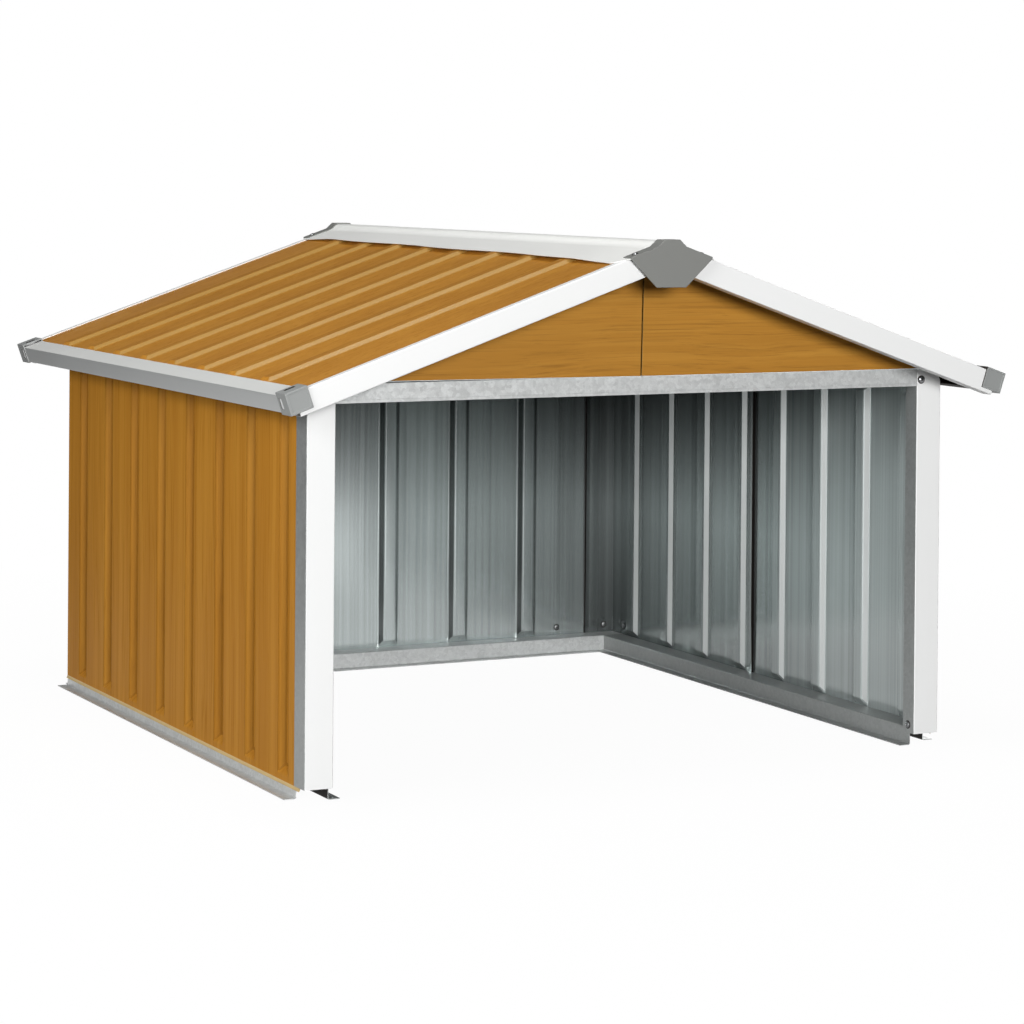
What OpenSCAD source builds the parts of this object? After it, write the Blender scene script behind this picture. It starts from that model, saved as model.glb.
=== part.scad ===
// Shelter for a robotic mower: a small gabled house of ribbed sheet steel, open at the front.
// +X is to the right, -Y is the open front, +Z is up. The origin is on the ground, at the middle.

/* [Body] */
// Width over the outer faces of the front posts
body_w = 850; // [700:1:1100]
// Depth from the front face of the posts to the outer face of the back wall
body_d = 842; // [700:1:1100]
// Height of the walls, to the top of the beam over the opening
wall_h = 468; // [380:1:600]

/* [Roof] */
// Slope of the roof in degrees
roof_pitch = 19.2; // [14:0.1:26]
// Reach of the roof past the posts, at each eave
eave_reach = 53; // [42:1:70]
// Reach of the roof past the walls, front and back
rake_reach = 61; // [45:1:80]
// Height of the roof's underside over the wall top, at the outer face of the posts
roof_seat = 8.5; // [4:0.5:14]
// Gap between each roof sheet and the ridge line
ridge_gap = 6; // [2:0.5:15]

/* [Pressed sheets] */
// Thickness of the wall, gable and roof sheets
sheet_t = 0.6; // [0.4:0.1:1]
// Distance from the front and the back of the body to the middle of the nearest rib
rib_margin = 66; // [52:0.5:90]
// Distance from the sides of the body to the middle of the back wall's nearest rib
back_rib_margin = 147.5; // [110:0.5:170]
// Width of a rib where it leaves the sheet
rib_base = 30; // [24:0.5:36]
// Width of a rib's flat crest
rib_crest = 17; // [10:0.5:20]
// Height of the wall ribs, which stand inwards
wall_rib_h = 8; // [4:0.5:12]
// Height of the roof ribs, which stand upwards
roof_rib_h = 4; // [3:0.5:8]
// Length of the pressed ramp at the end of a rib
rib_ramp = 9; // [6:0.5:16]
// Height of the wall sheets' lower edge over the ground
sheet_lift = 11; // [6:1:16]
// Flat strip left below the rib ends of a wall sheet
rib_foot = 11; // [8:0.5:20]
// Overlap of one sheet on the next
sheet_lap = 12; // [8:1:20]
// Width of the side sheets' return inside the back corners
corner_return = 49; // [36:1:70]

/* [Base rails] */
// Height of the hat-section base rails
rail_h = 22; // [18:1:36]
// Width of each ground flange
rail_flange = 14; // [8:1:20]
// Thickness of rails, angles and beams
frame_t = 1; // [0.8:0.1:2]
// Setback of the side rails' open ends from the posts' front face
rail_setback = 11; // [6:0.5:20]

/* [Posts and beams] */
// Width of a front post
post_w = 35; // [28:1:45]
// Depth of a post's legs
post_d = 30; // [25:1:45]
// Thickness of a post
post_t = 1; // [0.8:0.1:2]
// Height of a post's foot over the ground
post_lift = 15; // [10:1:17]
// Width of the slanted cut at a post's top outer corner
post_cut_w = 7; // [3:0.5:12]
// Height of the slanted cut at a post's top outer corner
post_cut_h = 18; // [8:1:24]
// Height of the beams at the wall top
beam_h = 22; // [16:1:28]
// Depth of the beams' flanges
beam_d = 20; // [12:1:28]
// Leg width of the back corner angles
angle_w = 25; // [18:1:32]
// Height of the vertical leg of the rails under the eaves
top_leg = 28; // [24:1:36]
// Width of the sloping seat of the rails under the eaves
top_seat = 20; // [12:1:30]
// Width of the gables' flange under the roof
gable_flange = 15; // [10:1:22]

/* [Roof trims] */
// Thickness of the folded trims
trim_t = 1; // [0.8:0.1:1.5]
// Width of the eave trim's strip on top of the roof
eave_strip = 26; // [20:1:34]
// Height of the eave trim's outer face
eave_face = 21; // [16:1:24]
// Width of the eave trim's lower lip
eave_lip = 14; // [8:1:18]
// Height of the rake trim's face, square to the roof
rake_face = 27.4; // [22:0.2:34]
// Width of the rake trim's lip on top of the roof
rake_lip = 11; // [8:0.5:16]
// Width of the rake trim's lower lip
rake_foot = 18; // [10:1:24]
// Distance from the eave cap's outer end to the end of the rake trim's strip below it
rake_stop = 12; // [4:1:22]

/* [Ridge] */
// Half width of the ridge cap
ridge_half = 64; // [56:1:80]
// Half width between the ridge cap's knees
ridge_knee = 19; // [15:1:24]
// Half width of the ridge cap's flat top
ridge_flat = 10; // [6:0.5:13]
// Height of the ridge cap's flat top over the ridge line
ridge_rise = 3.5; // [2:0.5:8]
// Thickness of the ridge cap
ridge_t = 0.8; // [0.6:0.1:1.2]

/* [Plastic caps] */
// Wall of the plastic caps
cap_wall = 1.5; // [1:0.1:2.5]
// Depth of the eave caps
cap_d = 27; // [20:1:36]
// How far the eave caps stand out past the rake trims
cap_proud = 2; // [1:0.5:4]
// How far the ridge end caps stand out past the rake trims
end_proud = 7; // [4:0.5:10]
// Depth of the ridge end caps' rim over the ridge cap
end_rim = 20; // [14:1:30]
// Half width of the ridge end caps' bottom edge
end_foot = 19.5; // [14:0.5:26]
// Half width of the ridge end caps between their tips
end_half = 54; // [45:1:56]
// Height of a ridge end cap
end_h = 55.5; // [48:0.5:64]

/* [Hidden] */

WOOD = "#a3702f";
ZINC = "#b4b8b8";
WHITE = "#f0f0ec";
GREY = "#8e9191";

// Reach of a cutting tool past the faces that it cuts
over = 1;
// Length that is longer than the whole shelter, for trimming at a plane
far = 4 * (body_w + body_d);

// Side walls: outer and inner face of the sheet, right side
side_out = body_w / 2 - post_t;
side_in = side_out - sheet_t;
// Back wall: outer face of the back sheet, then of the side sheets' returns, and their inner face
back_out = body_d / 2;
back_face = back_out - sheet_t;
back_in = back_face - sheet_t;
front_y = -body_d / 2;

// Width of the hat rails over their webs: they fill the posts beside the sheet
rail_w = post_w - 2 * post_t - sheet_t;
rail_in = side_in - rail_w;
back_rail_in = back_in - rail_w;

// Ribs of the walls: count, spacing and height of the pressed length
side_ribs = 8;
back_ribs = 6;
rib_pitch = (body_d - 2 * rib_margin) / (side_ribs - 1);
back_rib_pitch = (body_w - 2 * back_rib_margin) / (back_ribs - 1);
// Number of ribs in the rear sheet of each side wall
left_rear_ribs = 5;
right_rear_ribs = 4;
// Number of ribs in the rear sheet of each roof slope
roof_rear_ribs = 4;
rib_low = sheet_lift + rib_foot;
rib_high = wall_h - top_leg - over;

// Roof: height of the sheets' top plane at the ridge line
slope = tan(roof_pitch);
roof_rise = sheet_t / cos(roof_pitch);
under_z = wall_h + roof_seat + slope * body_w / 2;
apex_z = under_z + roof_rise;

// Places along the slope, measured from the ridge line down the roof
cap_top = trim_t + cap_wall;
slope_end = (body_w / 2 + eave_reach - cap_top * sin(roof_pitch)) / cos(roof_pitch);
trim_end = slope_end - cap_wall;
cap_w = eave_strip + 2 * cap_wall;
cap_h = eave_face + 2 * cap_wall;
cap_start = slope_end - cap_w;
cap_low = cap_top - cap_h;
sheet_end = trim_end - 2 * trim_t;
strip_start = trim_end - eave_strip;

// Places front to back
rake_y = body_d / 2 + rake_reach;
cap_y = rake_y + cap_proud;
end_y = rake_y + end_proud;
roof_ribs = 8;

// Ridge cap section
ridge_top = apex_z + ridge_rise;
wing_rise = ridge_t / cos(roof_pitch);

// Height of the roof sheets' underside at x
function under_at(x) = under_z - slope * x;
// Height of the trims' top lips at x
function lip_at(x) = apex_z + trim_t / cos(roof_pitch) - slope * x;
// Place of rib i of n, spread evenly about the middle
function rib_at(i, n, pitch) = (i - (n - 1) / 2) * pitch;

// Puts right-hand geometry on the side asked for: 1 is right, -1 is left
module on_side(side) {
    mirror([side < 0 ? 1 : 0, 0, 0])
        children();
}

// Puts back geometry at the end asked for: 1 is back, -1 is front
module at_end(end) {
    mirror([0, end < 0 ? 1 : 0, 0])
        children();
}

// Right roof slope: x runs down the slope from the ridge, z is square to the sheet's top
module on_slope() {
    translate([0, 0, apex_z])
        rotate([0, roof_pitch, 0])
            children();
}

// Keeps what lies on the right of the middle plane
module right_half() {
    intersection() {
        children();
        translate([0, -far / 2, -far / 2])
            cube([far, far, far]);
    }
}

// Bar along y with a profile drawn as (x, z), run from y0 to y1
module run_y(y0, y1) {
    translate([0, y1, 0])
        rotate([90, 0, 0])
            linear_extrude(y1 - y0)
                children();
}

// Bar along x with a profile drawn as (y, z), run from x0 to x1
module run_x(x0, x1) {
    translate([x0, 0, 0])
        rotate([90, 0, 90])
            linear_extrude(x1 - x0)
                children();
}

// Extra half width that gives a sloping rib wall the sheet's thickness
function rib_skin(run, rise) = sheet_t * (sqrt(run * run + rise * rise) - run) / rise;

// Block of a pressed rib: a bar along z with sloping sides and ramped ends, crest towards +y
module rib_block(z0, z1, rise, lift, skin) {
    base = rib_base / 2 + skin;
    crest = rib_crest / 2 + skin;
    foot = lift > 0 ? 0 : -over;
    intersection() {
        translate([0, 0, z0 - over])
            linear_extrude(z1 - z0 + 2 * over)
                polygon([
                    [-base, foot], [base, foot], [base, lift],
                    [crest, lift + rise], [-crest, lift + rise], [-base, lift]
                ]);
        run_x(-rib_base, rib_base)
            polygon([
                [foot, z0 - skin], [lift, z0 - skin], [lift + rise, z0 + rib_ramp - skin],
                [lift + rise, z1 - rib_ramp + skin], [lift, z1 + skin], [foot, z1 + skin]
            ]);
    }
}

// Pressed sheet: spans x0 to x1 and z0 to z1, outer face at y = 0, ribs standing towards +y
module pressed_sheet(x0, x1, z0, z1, ribs, rib_z0, rib_z1, rise) {
    skin = rib_skin((rib_base - rib_crest) / 2, rise);
    difference() {
        union() {
            translate([x0, 0, z0])
                cube([x1 - x0, sheet_t, z1 - z0]);
            for (x = ribs)
                translate([x, 0, 0])
                    rib_block(rib_z0, rib_z1, rise, sheet_t, skin);
        }
        for (x = ribs)
            translate([x, 0, 0])
                rib_block(rib_z0, rib_z1, rise, 0, 0);
    }
}

// Hat section drawn as (across, up): webs from 0 to rail_w, with a ground flange on each side
module hat_section() {
    polygon([
        [-rail_flange, 0], [frame_t, 0], [frame_t, rail_h - frame_t],
        [rail_w - frame_t, rail_h - frame_t], [rail_w - frame_t, 0], [rail_w + rail_flange, 0],
        [rail_w + rail_flange, frame_t], [rail_w, frame_t], [rail_w, rail_h],
        [0, rail_h], [0, frame_t], [-rail_flange, frame_t]
    ]);
}

module side_rail(side) {
    color(ZINC)
        on_side(side)
            run_y(front_y + rail_setback, back_rail_in)
                translate([rail_in, 0])
                    hat_section();
}

module rail_back() {
    clear_x = rail_in - rail_flange;
    color(ZINC)
        difference() {
            run_x(-side_in, side_in)
                translate([back_rail_in, 0])
                    hat_section();
            for (side = [-1, 1])
                on_side(side)
                    translate([clear_x, back_rail_in - rail_flange - over, -over])
                        cube([side_in, rail_flange + over, frame_t + 2 * over]);
        }
}

module front_post(side) {
    outer = body_w / 2;
    color(WHITE)
        on_side(side)
            difference() {
                translate([outer - post_w, front_y, post_lift])
                    cube([post_w, post_d, wall_h - post_lift]);
                translate([outer - post_w + post_t, front_y + post_t, post_lift - over])
                    cube([post_w - 2 * post_t, post_d, wall_h - post_lift + 2 * over]);
                run_y(front_y - over, front_y + post_d + over)
                    polygon([
                        [outer - post_cut_w, wall_h], [outer, wall_h - post_cut_h],
                        [outer + over, wall_h - post_cut_h], [outer + over, wall_h + over],
                        [outer - post_cut_w, wall_h + over]
                    ]);
            }
}

module corner_angle(side) {
    color(ZINC)
        on_side(side)
            translate([0, 0, rail_h])
                linear_extrude(wall_h - top_leg - rail_h)
                    polygon([
                        [side_in, back_in], [side_in - angle_w, back_in],
                        [side_in - angle_w, back_in - frame_t],
                        [side_in - frame_t, back_in - frame_t],
                        [side_in - frame_t, back_in - angle_w], [side_in, back_in - angle_w]
                    ]);
}

// Front edge of the sheet that holds the rearmost ribs, just before its first rib
function seam_at(rear_ribs) =
    rib_at(side_ribs - rear_ribs, side_ribs, rib_pitch) - rib_base / 2 - sheet_lap / 2;

function rib_row(first, last, n, pitch) = [for (i = [first:last]) rib_at(i, n, pitch)];

// Right side wall in place: sheet coordinates run front to back
module on_side_wall() {
    translate([side_out, 0, 0])
        rotate([0, 0, 90])
            children();
}

module wall_front(side, rear_ribs) {
    seam = seam_at(rear_ribs);
    color(WOOD)
        on_side(side)
            on_side_wall()
                pressed_sheet(front_y + post_d / 2, seam, sheet_lift, wall_h,
                    rib_row(0, side_ribs - rear_ribs - 1, side_ribs, rib_pitch),
                    rib_low, rib_high, wall_rib_h);
}

module wall_rear(side, rear_ribs) {
    seam = seam_at(rear_ribs);
    lip_h = wall_h - sheet_lift;
    color(WOOD)
        on_side(side) {
            on_side_wall() {
                pressed_sheet(seam, back_face, sheet_lift, wall_h,
                    rib_row(side_ribs - rear_ribs, side_ribs - 1, side_ribs, rib_pitch),
                    rib_low, rib_high, wall_rib_h);
                translate([seam - sheet_lap / 2, sheet_t, sheet_lift + rail_h])
                    cube([sheet_lap, sheet_t, lip_h - rail_h - top_leg]);
            }
            translate([side_out - corner_return, back_in, sheet_lift])
                cube([corner_return, sheet_t, lip_h - frame_t]);
        }
}

module wall_back() {
    half = side_out - corner_return + sheet_lap;
    color(WOOD)
        translate([0, back_out, 0])
            rotate([0, 0, 180])
                pressed_sheet(-half, half, sheet_lift, wall_h - frame_t,
                    rib_row(0, back_ribs - 1, back_ribs, back_rib_pitch),
                    rib_low, rib_high, wall_rib_h);
}

module front_beam() {
    half = body_w / 2 - post_w;
    low = wall_h - beam_h;
    color(ZINC)
        run_x(-half, half)
            polygon([
                [front_y, low], [front_y + beam_d, low], [front_y + beam_d, low + frame_t],
                [front_y + frame_t, low + frame_t], [front_y + frame_t, wall_h - frame_t],
                [front_y + beam_d, wall_h - frame_t], [front_y + beam_d, wall_h],
                [front_y, wall_h]
            ]);
}

module back_beam() {
    half = side_in - frame_t;
    low = wall_h - beam_h;
    color(ZINC)
        run_x(-half, half)
            polygon([
                [back_in, low], [back_in - beam_d, low], [back_in - beam_d, low + frame_t],
                [back_in - frame_t, low + frame_t], [back_in - frame_t, wall_h - frame_t],
                [back_in - beam_d, wall_h - frame_t], [back_in - beam_d, wall_h],
                [back_out, wall_h], [back_out, wall_h - frame_t], [back_in, wall_h - frame_t]
            ]);
}

module top_rail(side) {
    low = wall_h - top_leg;
    reach = body_d / 2 - gable_flange;
    inner = side_in - top_seat;
    web = side_in - frame_t;
    color(ZINC)
        on_side(side)
            run_y(-reach, reach)
                polygon([
                    [web, low], [side_in, low], [side_in, under_at(side_in)],
                    [inner, under_at(inner)], [inner, under_at(inner) - frame_t],
                    [web, under_at(web) - frame_t]
                ]);
}

// Half of a gable, with its flange under the roof; the right one carries the lap
module gable(end, side) {
    half = body_w / 2;
    color(WOOD)
        at_end(end)
            on_side(side) {
                run_y(back_out - sheet_t, back_out)
                    polygon([
                        [0, wall_h], [half, wall_h], [half, under_at(half)], [0, under_at(0)]
                    ]);
                run_y(back_out - gable_flange, back_out)
                    polygon([
                        [0, under_at(0)], [half, under_at(half)],
                        [half, under_at(half) - roof_rise], [0, under_at(0) - roof_rise]
                    ]);
                if (side > 0)
                    translate([-sheet_lap, back_out - 2 * sheet_t, wall_h])
                        cube([2 * sheet_lap, sheet_t, under_at(sheet_lap) - roof_rise - wall_h]);
            }
}

// Roof sheet between two places front to back, on the right slope
module roof_sheet(side, y0, y1, ribs, lap) {
    top_end = ridge_half / cos(roof_pitch);
    notch_y = cap_y - cap_d;
    color(WOOD)
        on_side(side)
            on_slope()
                difference() {
                    union() {
                        translate([0, 0, -sheet_t])
                            rotate([90, 0, 90])
                                pressed_sheet(y0, y1, ridge_gap, sheet_end, ribs,
                                    top_end, strip_start, roof_rib_h);
                        if (lap)
                            translate([top_end, y1 - sheet_lap / 2, 0])
                                cube([strip_start - top_end, sheet_lap, sheet_t]);
                    }
                    for (end = [-1, 1])
                        at_end(end)
                            translate([cap_start, notch_y, -over - sheet_t])
                                cube([cap_w, cap_d + over, sheet_t + 2 * over]);
                }
}

roof_seam = rib_at(roof_ribs - roof_rear_ribs, roof_ribs, rib_pitch) - rib_base / 2 - sheet_lap / 2;

module roof_front(side) {
    roof_sheet(side, -rake_y + trim_t, roof_seam,
        rib_row(0, roof_ribs - roof_rear_ribs - 1, roof_ribs, rib_pitch), true);
}

module roof_rear(side) {
    roof_sheet(side, roof_seam, rake_y - trim_t,
        rib_row(roof_ribs - roof_rear_ribs, roof_ribs - 1, roof_ribs, rib_pitch), false);
}

// Right half of the ridge cap's upper outline, from the middle to the tip
function ridge_line(raise, half) = [
    [0, ridge_top + raise], [ridge_flat, ridge_top + raise],
    [ridge_knee, lip_at(ridge_knee) + wing_rise + raise],
    [half, lip_at(half) + wing_rise + raise]
];

// Points in the opposite order, and the same points on the left side
function reversed(p) = [for (i = [len(p) - 1:-1:0]) p[i]];
function flipped(p) = [for (q = p) [-q[0], q[1]]];
// Outline across both sides, from the left tip to the right one
function ridge_outline(raise, half) =
    concat(reversed(flipped(ridge_line(raise, half))), ridge_line(raise, half));

module ridge_cap() {
    reach = end_y - cap_wall;
    color(WHITE)
        run_y(-reach, reach)
            polygon(concat(ridge_outline(0, ridge_half), reversed(ridge_outline(-wing_rise, ridge_half))));
}

module ridge_end(end) {
    foot_z = ridge_top + cap_wall - end_h;
    color(GREY)
        at_end(end) {
            run_y(end_y - cap_wall, end_y)
                polygon(concat(ridge_outline(cap_wall, end_half), [
                    [end_half, lip_at(end_half)], [end_foot, foot_z],
                    [-end_foot, foot_z], [-end_half, lip_at(end_half)]
                ]));
            run_y(end_y - end_rim, end_y)
                polygon(concat(ridge_outline(cap_wall, end_half), reversed(ridge_outline(0, end_half))));
        }
}

module eave_trim(side) {
    reach = cap_y - cap_wall;
    low = trim_t - eave_face;
    color(WHITE)
        on_side(side)
            on_slope()
                run_y(-reach, reach)
                    polygon([
                        [strip_start, 0], [strip_start, trim_t], [trim_end, trim_t],
                        [trim_end, low], [trim_end - eave_lip, low],
                        [trim_end - eave_lip, low + trim_t], [trim_end - trim_t, low + trim_t],
                        [trim_end - trim_t, 0]
                    ]);
}

module rake_trim(end, side) {
    low = trim_t - rake_face;
    color(WHITE)
        at_end(end)
            on_side(side)
                right_half()
                    on_slope()
                        difference() {
                            run_x(-rake_face, slope_end - rake_stop)
                                polygon([
                                    [rake_y, trim_t], [rake_y - rake_lip, trim_t],
                                    [rake_y - rake_lip, 0], [rake_y - trim_t, 0],
                                    [rake_y - trim_t, low + trim_t],
                                    [rake_y - rake_foot, low + trim_t],
                                    [rake_y - rake_foot, low], [rake_y, low]
                                ]);
                            translate([cap_start, rake_y - rake_foot - over, cap_low])
                                cube([cap_w, rake_foot + 2 * over, cap_h + over]);
                        }
}

module eave_cap(end, side) {
    color(GREY)
        at_end(end)
            on_side(side)
                on_slope()
                    difference() {
                        translate([cap_start, cap_y - cap_d, cap_low])
                            cube([cap_w, cap_d, cap_h]);
                        translate([cap_start + cap_wall, cap_y - cap_d - over, trim_t - eave_face])
                            cube([eave_strip, cap_d - cap_wall + over, eave_face]);
                    }
}

side_rail(-1);  // rail_left
side_rail(1);  // rail_right
rail_back();
front_post(-1);  // front_post_left
front_post(1);  // front_post_right
corner_angle(-1);  // corner_angle_left
corner_angle(1);  // corner_angle_right
wall_front(-1, left_rear_ribs);  // wall_left_front
wall_rear(-1, left_rear_ribs);  // wall_left_rear
wall_front(1, right_rear_ribs);  // wall_right_front
wall_rear(1, right_rear_ribs);  // wall_right_rear
wall_back();
front_beam();
back_beam();
top_rail(-1);  // top_rail_left
top_rail(1);  // top_rail_right
gable(-1, -1);  // gable_front_left
gable(-1, 1);  // gable_front_right
gable(1, -1);  // gable_back_left
gable(1, 1);  // gable_back_right
roof_front(-1);  // roof_left_front
roof_rear(-1);  // roof_left_rear
roof_front(1);  // roof_right_front
roof_rear(1);  // roof_right_rear
ridge_cap();
ridge_end(-1);  // ridge_end_front
ridge_end(1);  // ridge_end_back
eave_trim(-1);  // eave_trim_left
eave_trim(1);  // eave_trim_right
rake_trim(-1, -1);  // rake_trim_front_left
rake_trim(-1, 1);  // rake_trim_front_right
rake_trim(1, -1);  // rake_trim_back_left
rake_trim(1, 1);  // rake_trim_back_right
eave_cap(-1, -1);  // eave_cap_front_left
eave_cap(-1, 1);  // eave_cap_front_right
eave_cap(1, -1);  // eave_cap_back_left
eave_cap(1, 1);  // eave_cap_back_right
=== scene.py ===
"""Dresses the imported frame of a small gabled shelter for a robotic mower."""

import math

import bmesh
import bpy
from bpy.props import FloatProperty, FloatVectorProperty, IntProperty, PointerProperty
from mathutils import Matrix, Vector


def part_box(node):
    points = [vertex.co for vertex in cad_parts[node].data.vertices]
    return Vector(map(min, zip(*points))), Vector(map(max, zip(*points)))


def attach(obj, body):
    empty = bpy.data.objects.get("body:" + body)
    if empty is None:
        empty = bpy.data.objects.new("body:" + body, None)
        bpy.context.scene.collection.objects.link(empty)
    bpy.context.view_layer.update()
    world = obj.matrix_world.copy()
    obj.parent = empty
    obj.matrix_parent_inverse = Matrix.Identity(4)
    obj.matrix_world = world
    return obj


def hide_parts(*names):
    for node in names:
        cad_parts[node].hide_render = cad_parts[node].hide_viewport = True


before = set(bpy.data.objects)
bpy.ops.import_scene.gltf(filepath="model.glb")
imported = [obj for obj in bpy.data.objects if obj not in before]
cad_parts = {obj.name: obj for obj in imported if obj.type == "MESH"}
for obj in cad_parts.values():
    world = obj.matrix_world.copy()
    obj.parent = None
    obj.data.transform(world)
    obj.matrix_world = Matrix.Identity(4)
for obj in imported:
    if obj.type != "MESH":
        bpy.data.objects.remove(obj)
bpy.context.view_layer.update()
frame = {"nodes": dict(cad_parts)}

bl_info = {
    "name": "Mower Shelter",
    "version": (1, 0, 0),
    "blender": (4, 5, 0),
    "location": "View3D > Sidebar > Shelter",
    "description": "Folded and pressed sheet metal, caps, screws and studio of a mower shelter",
    "category": "Object",
}

X, Y, Z = Vector((1, 0, 0)), Vector((0, 1, 0)), Vector((0, 0, 1))
SIDES = {"left": Matrix.Diagonal((-1, 1, 1, 1)), "right": Matrix.Identity(4)}
ENDS = {"front": Matrix.Diagonal((1, -1, 1, 1)), "back": Matrix.Identity(4)}


def low(node):
    """Lowest corner of a node of the frame."""
    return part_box(node)[0]


def high(node):
    """Highest corner of a node of the frame."""
    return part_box(node)[1]


# Main lines of the frame: walls, posts, rakes, caps and ridge
FRONT = low("front_post_right").y
BACK = high("wall_back").y
SIDE = high("wall_right_front").x
WALL_TOP = high("front_post_right").z
RAKE = high("rake_trim_back_right").y
CAP_END = high("eave_cap_back_right").y
RIDGE_END = high("ridge_end_back").y
RIDGE_TOP = high("ridge_cap").z


def length(name, description, default):
    """A size that can be changed, in metres."""
    return FloatProperty(name=name, description=description, default=default, unit="LENGTH")


def amount(name, description, default):
    """A plain number that can be changed."""
    return FloatProperty(name=name, description=description, default=default)


def number(name, description, default):
    """A whole number that can be changed."""
    return IntProperty(name=name, description=description, default=default)


def angle(name, description, degrees):
    """An angle that can be changed."""
    return FloatProperty(
        name=name, description=description, default=math.radians(degrees), subtype="ANGLE")


def tint(name, description, *default):
    """A colour that can be changed, in linear values."""
    return FloatVectorProperty(
        name=name, description=description, default=default, subtype="COLOR", min=0, max=1)


class ShelterSheets(bpy.types.PropertyGroup):
    """Sizes of the pressed wall, gable and roof sheets."""

    metal: length("Sheet", "Thickness of the wall, gable and roof sheets", 0.0006)
    rib_margin: length("Rib margin", "From the body's front or back to the nearest rib", 0.066)
    back_rib_margin: length(
        "Back rib margin", "From the body's side to the nearest back rib", 0.1475)
    rib_base: length("Rib base", "Width of a rib where it leaves the sheet", 0.030)
    rib_crest: length("Rib crest", "Width of a rib's flat crest", 0.017)
    wall_rise: length("Wall rib height", "Height of the wall ribs, which stand inwards", 0.008)
    roof_rise: length("Roof rib height", "Height of the roof ribs, which stand upwards", 0.004)
    ramp: length("Rib ramp", "Length of the pressed ramp at a wall rib's end", 0.009)
    roof_ramp: length("Roof rib ramp", "Length of the pressed ramp at a roof rib's end", 0.005)
    rib_foot: length("Rib foot", "Flat strip below the rib ends", 0.011)
    rib_head: length("Rib head", "Flat strip above the rib ends", 0.029)
    bend: length("Rib bend", "Set-back of the rounded bends beside a rib", 0.0018)
    lip: length("Lip height", "Height of the flared lip at a sheet's lower edge", 0.0016)
    flare: length("Lip flare", "How far the lip at a sheet's lower edge turns out", 0.0016)
    lap: length("Lap", "Overlap of the rear side sheet inside the front one", 0.014)
    lap_gap: length("Lap gap", "How far a lapped edge bows off its neighbour", 0.0042)
    corner_return: length("Corner return", "Width of a side sheet's return on the back wall", 0.049)
    ribs: number("Side ribs", "Ribs on a side wall or roof slope", 8)
    back_ribs: number("Back ribs", "Ribs on the back wall", 6)
    left_rear: number("Left rear ribs", "Ribs of the left rear sheet", 5)
    right_rear: number("Right rear ribs", "Ribs of the right rear sheet", 4)
    roof_rear: number("Roof rear ribs", "Ribs of a rear roof sheet", 4)


class ShelterFrame(bpy.types.PropertyGroup):
    """Sizes of the folded rails, posts, beams and angles."""

    metal: length("Metal", "Thickness of rails, posts, angles and beams", 0.001)
    bend: length("Bend", "Set-back of the rounded folds", 0.0014)
    rail_flange: length("Rail flange", "Width of a base rail's ground flange", 0.014)
    rail_notch: length(
        "Rail notch", "Part of a side rail's end that is cut back beside the post", 0.018)
    inner_leg: length("Inner leg", "Depth of a post's leg inside the opening", 0.024)
    post_cut_w: length("Post cut width", "Width of the slanted cut at a post's top", 0.007)
    post_cut_h: length("Post cut height", "Height of the slanted cut at a post's top", 0.018)
    top_seat: length("Eave rail seat", "Width of the sloping seat under the roof", 0.020)
    gable_flange: length("Gable flange", "Width of the gables' flange under the roof", 0.015)
    gable_gap: length("Gable gap", "Open joint between the two halves of a gable", 0.0018)
    gable_lift: length("Gable lift", "How far a gable's outer corner stands off the beam", 0.0026)
    gable_lap: length("Gable lap", "Half width of the strip behind the gables' joint", 0.012)
    beam_hem: length("Beam hem", "Height of the pressed hem along the front beam", 0.003)


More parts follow.
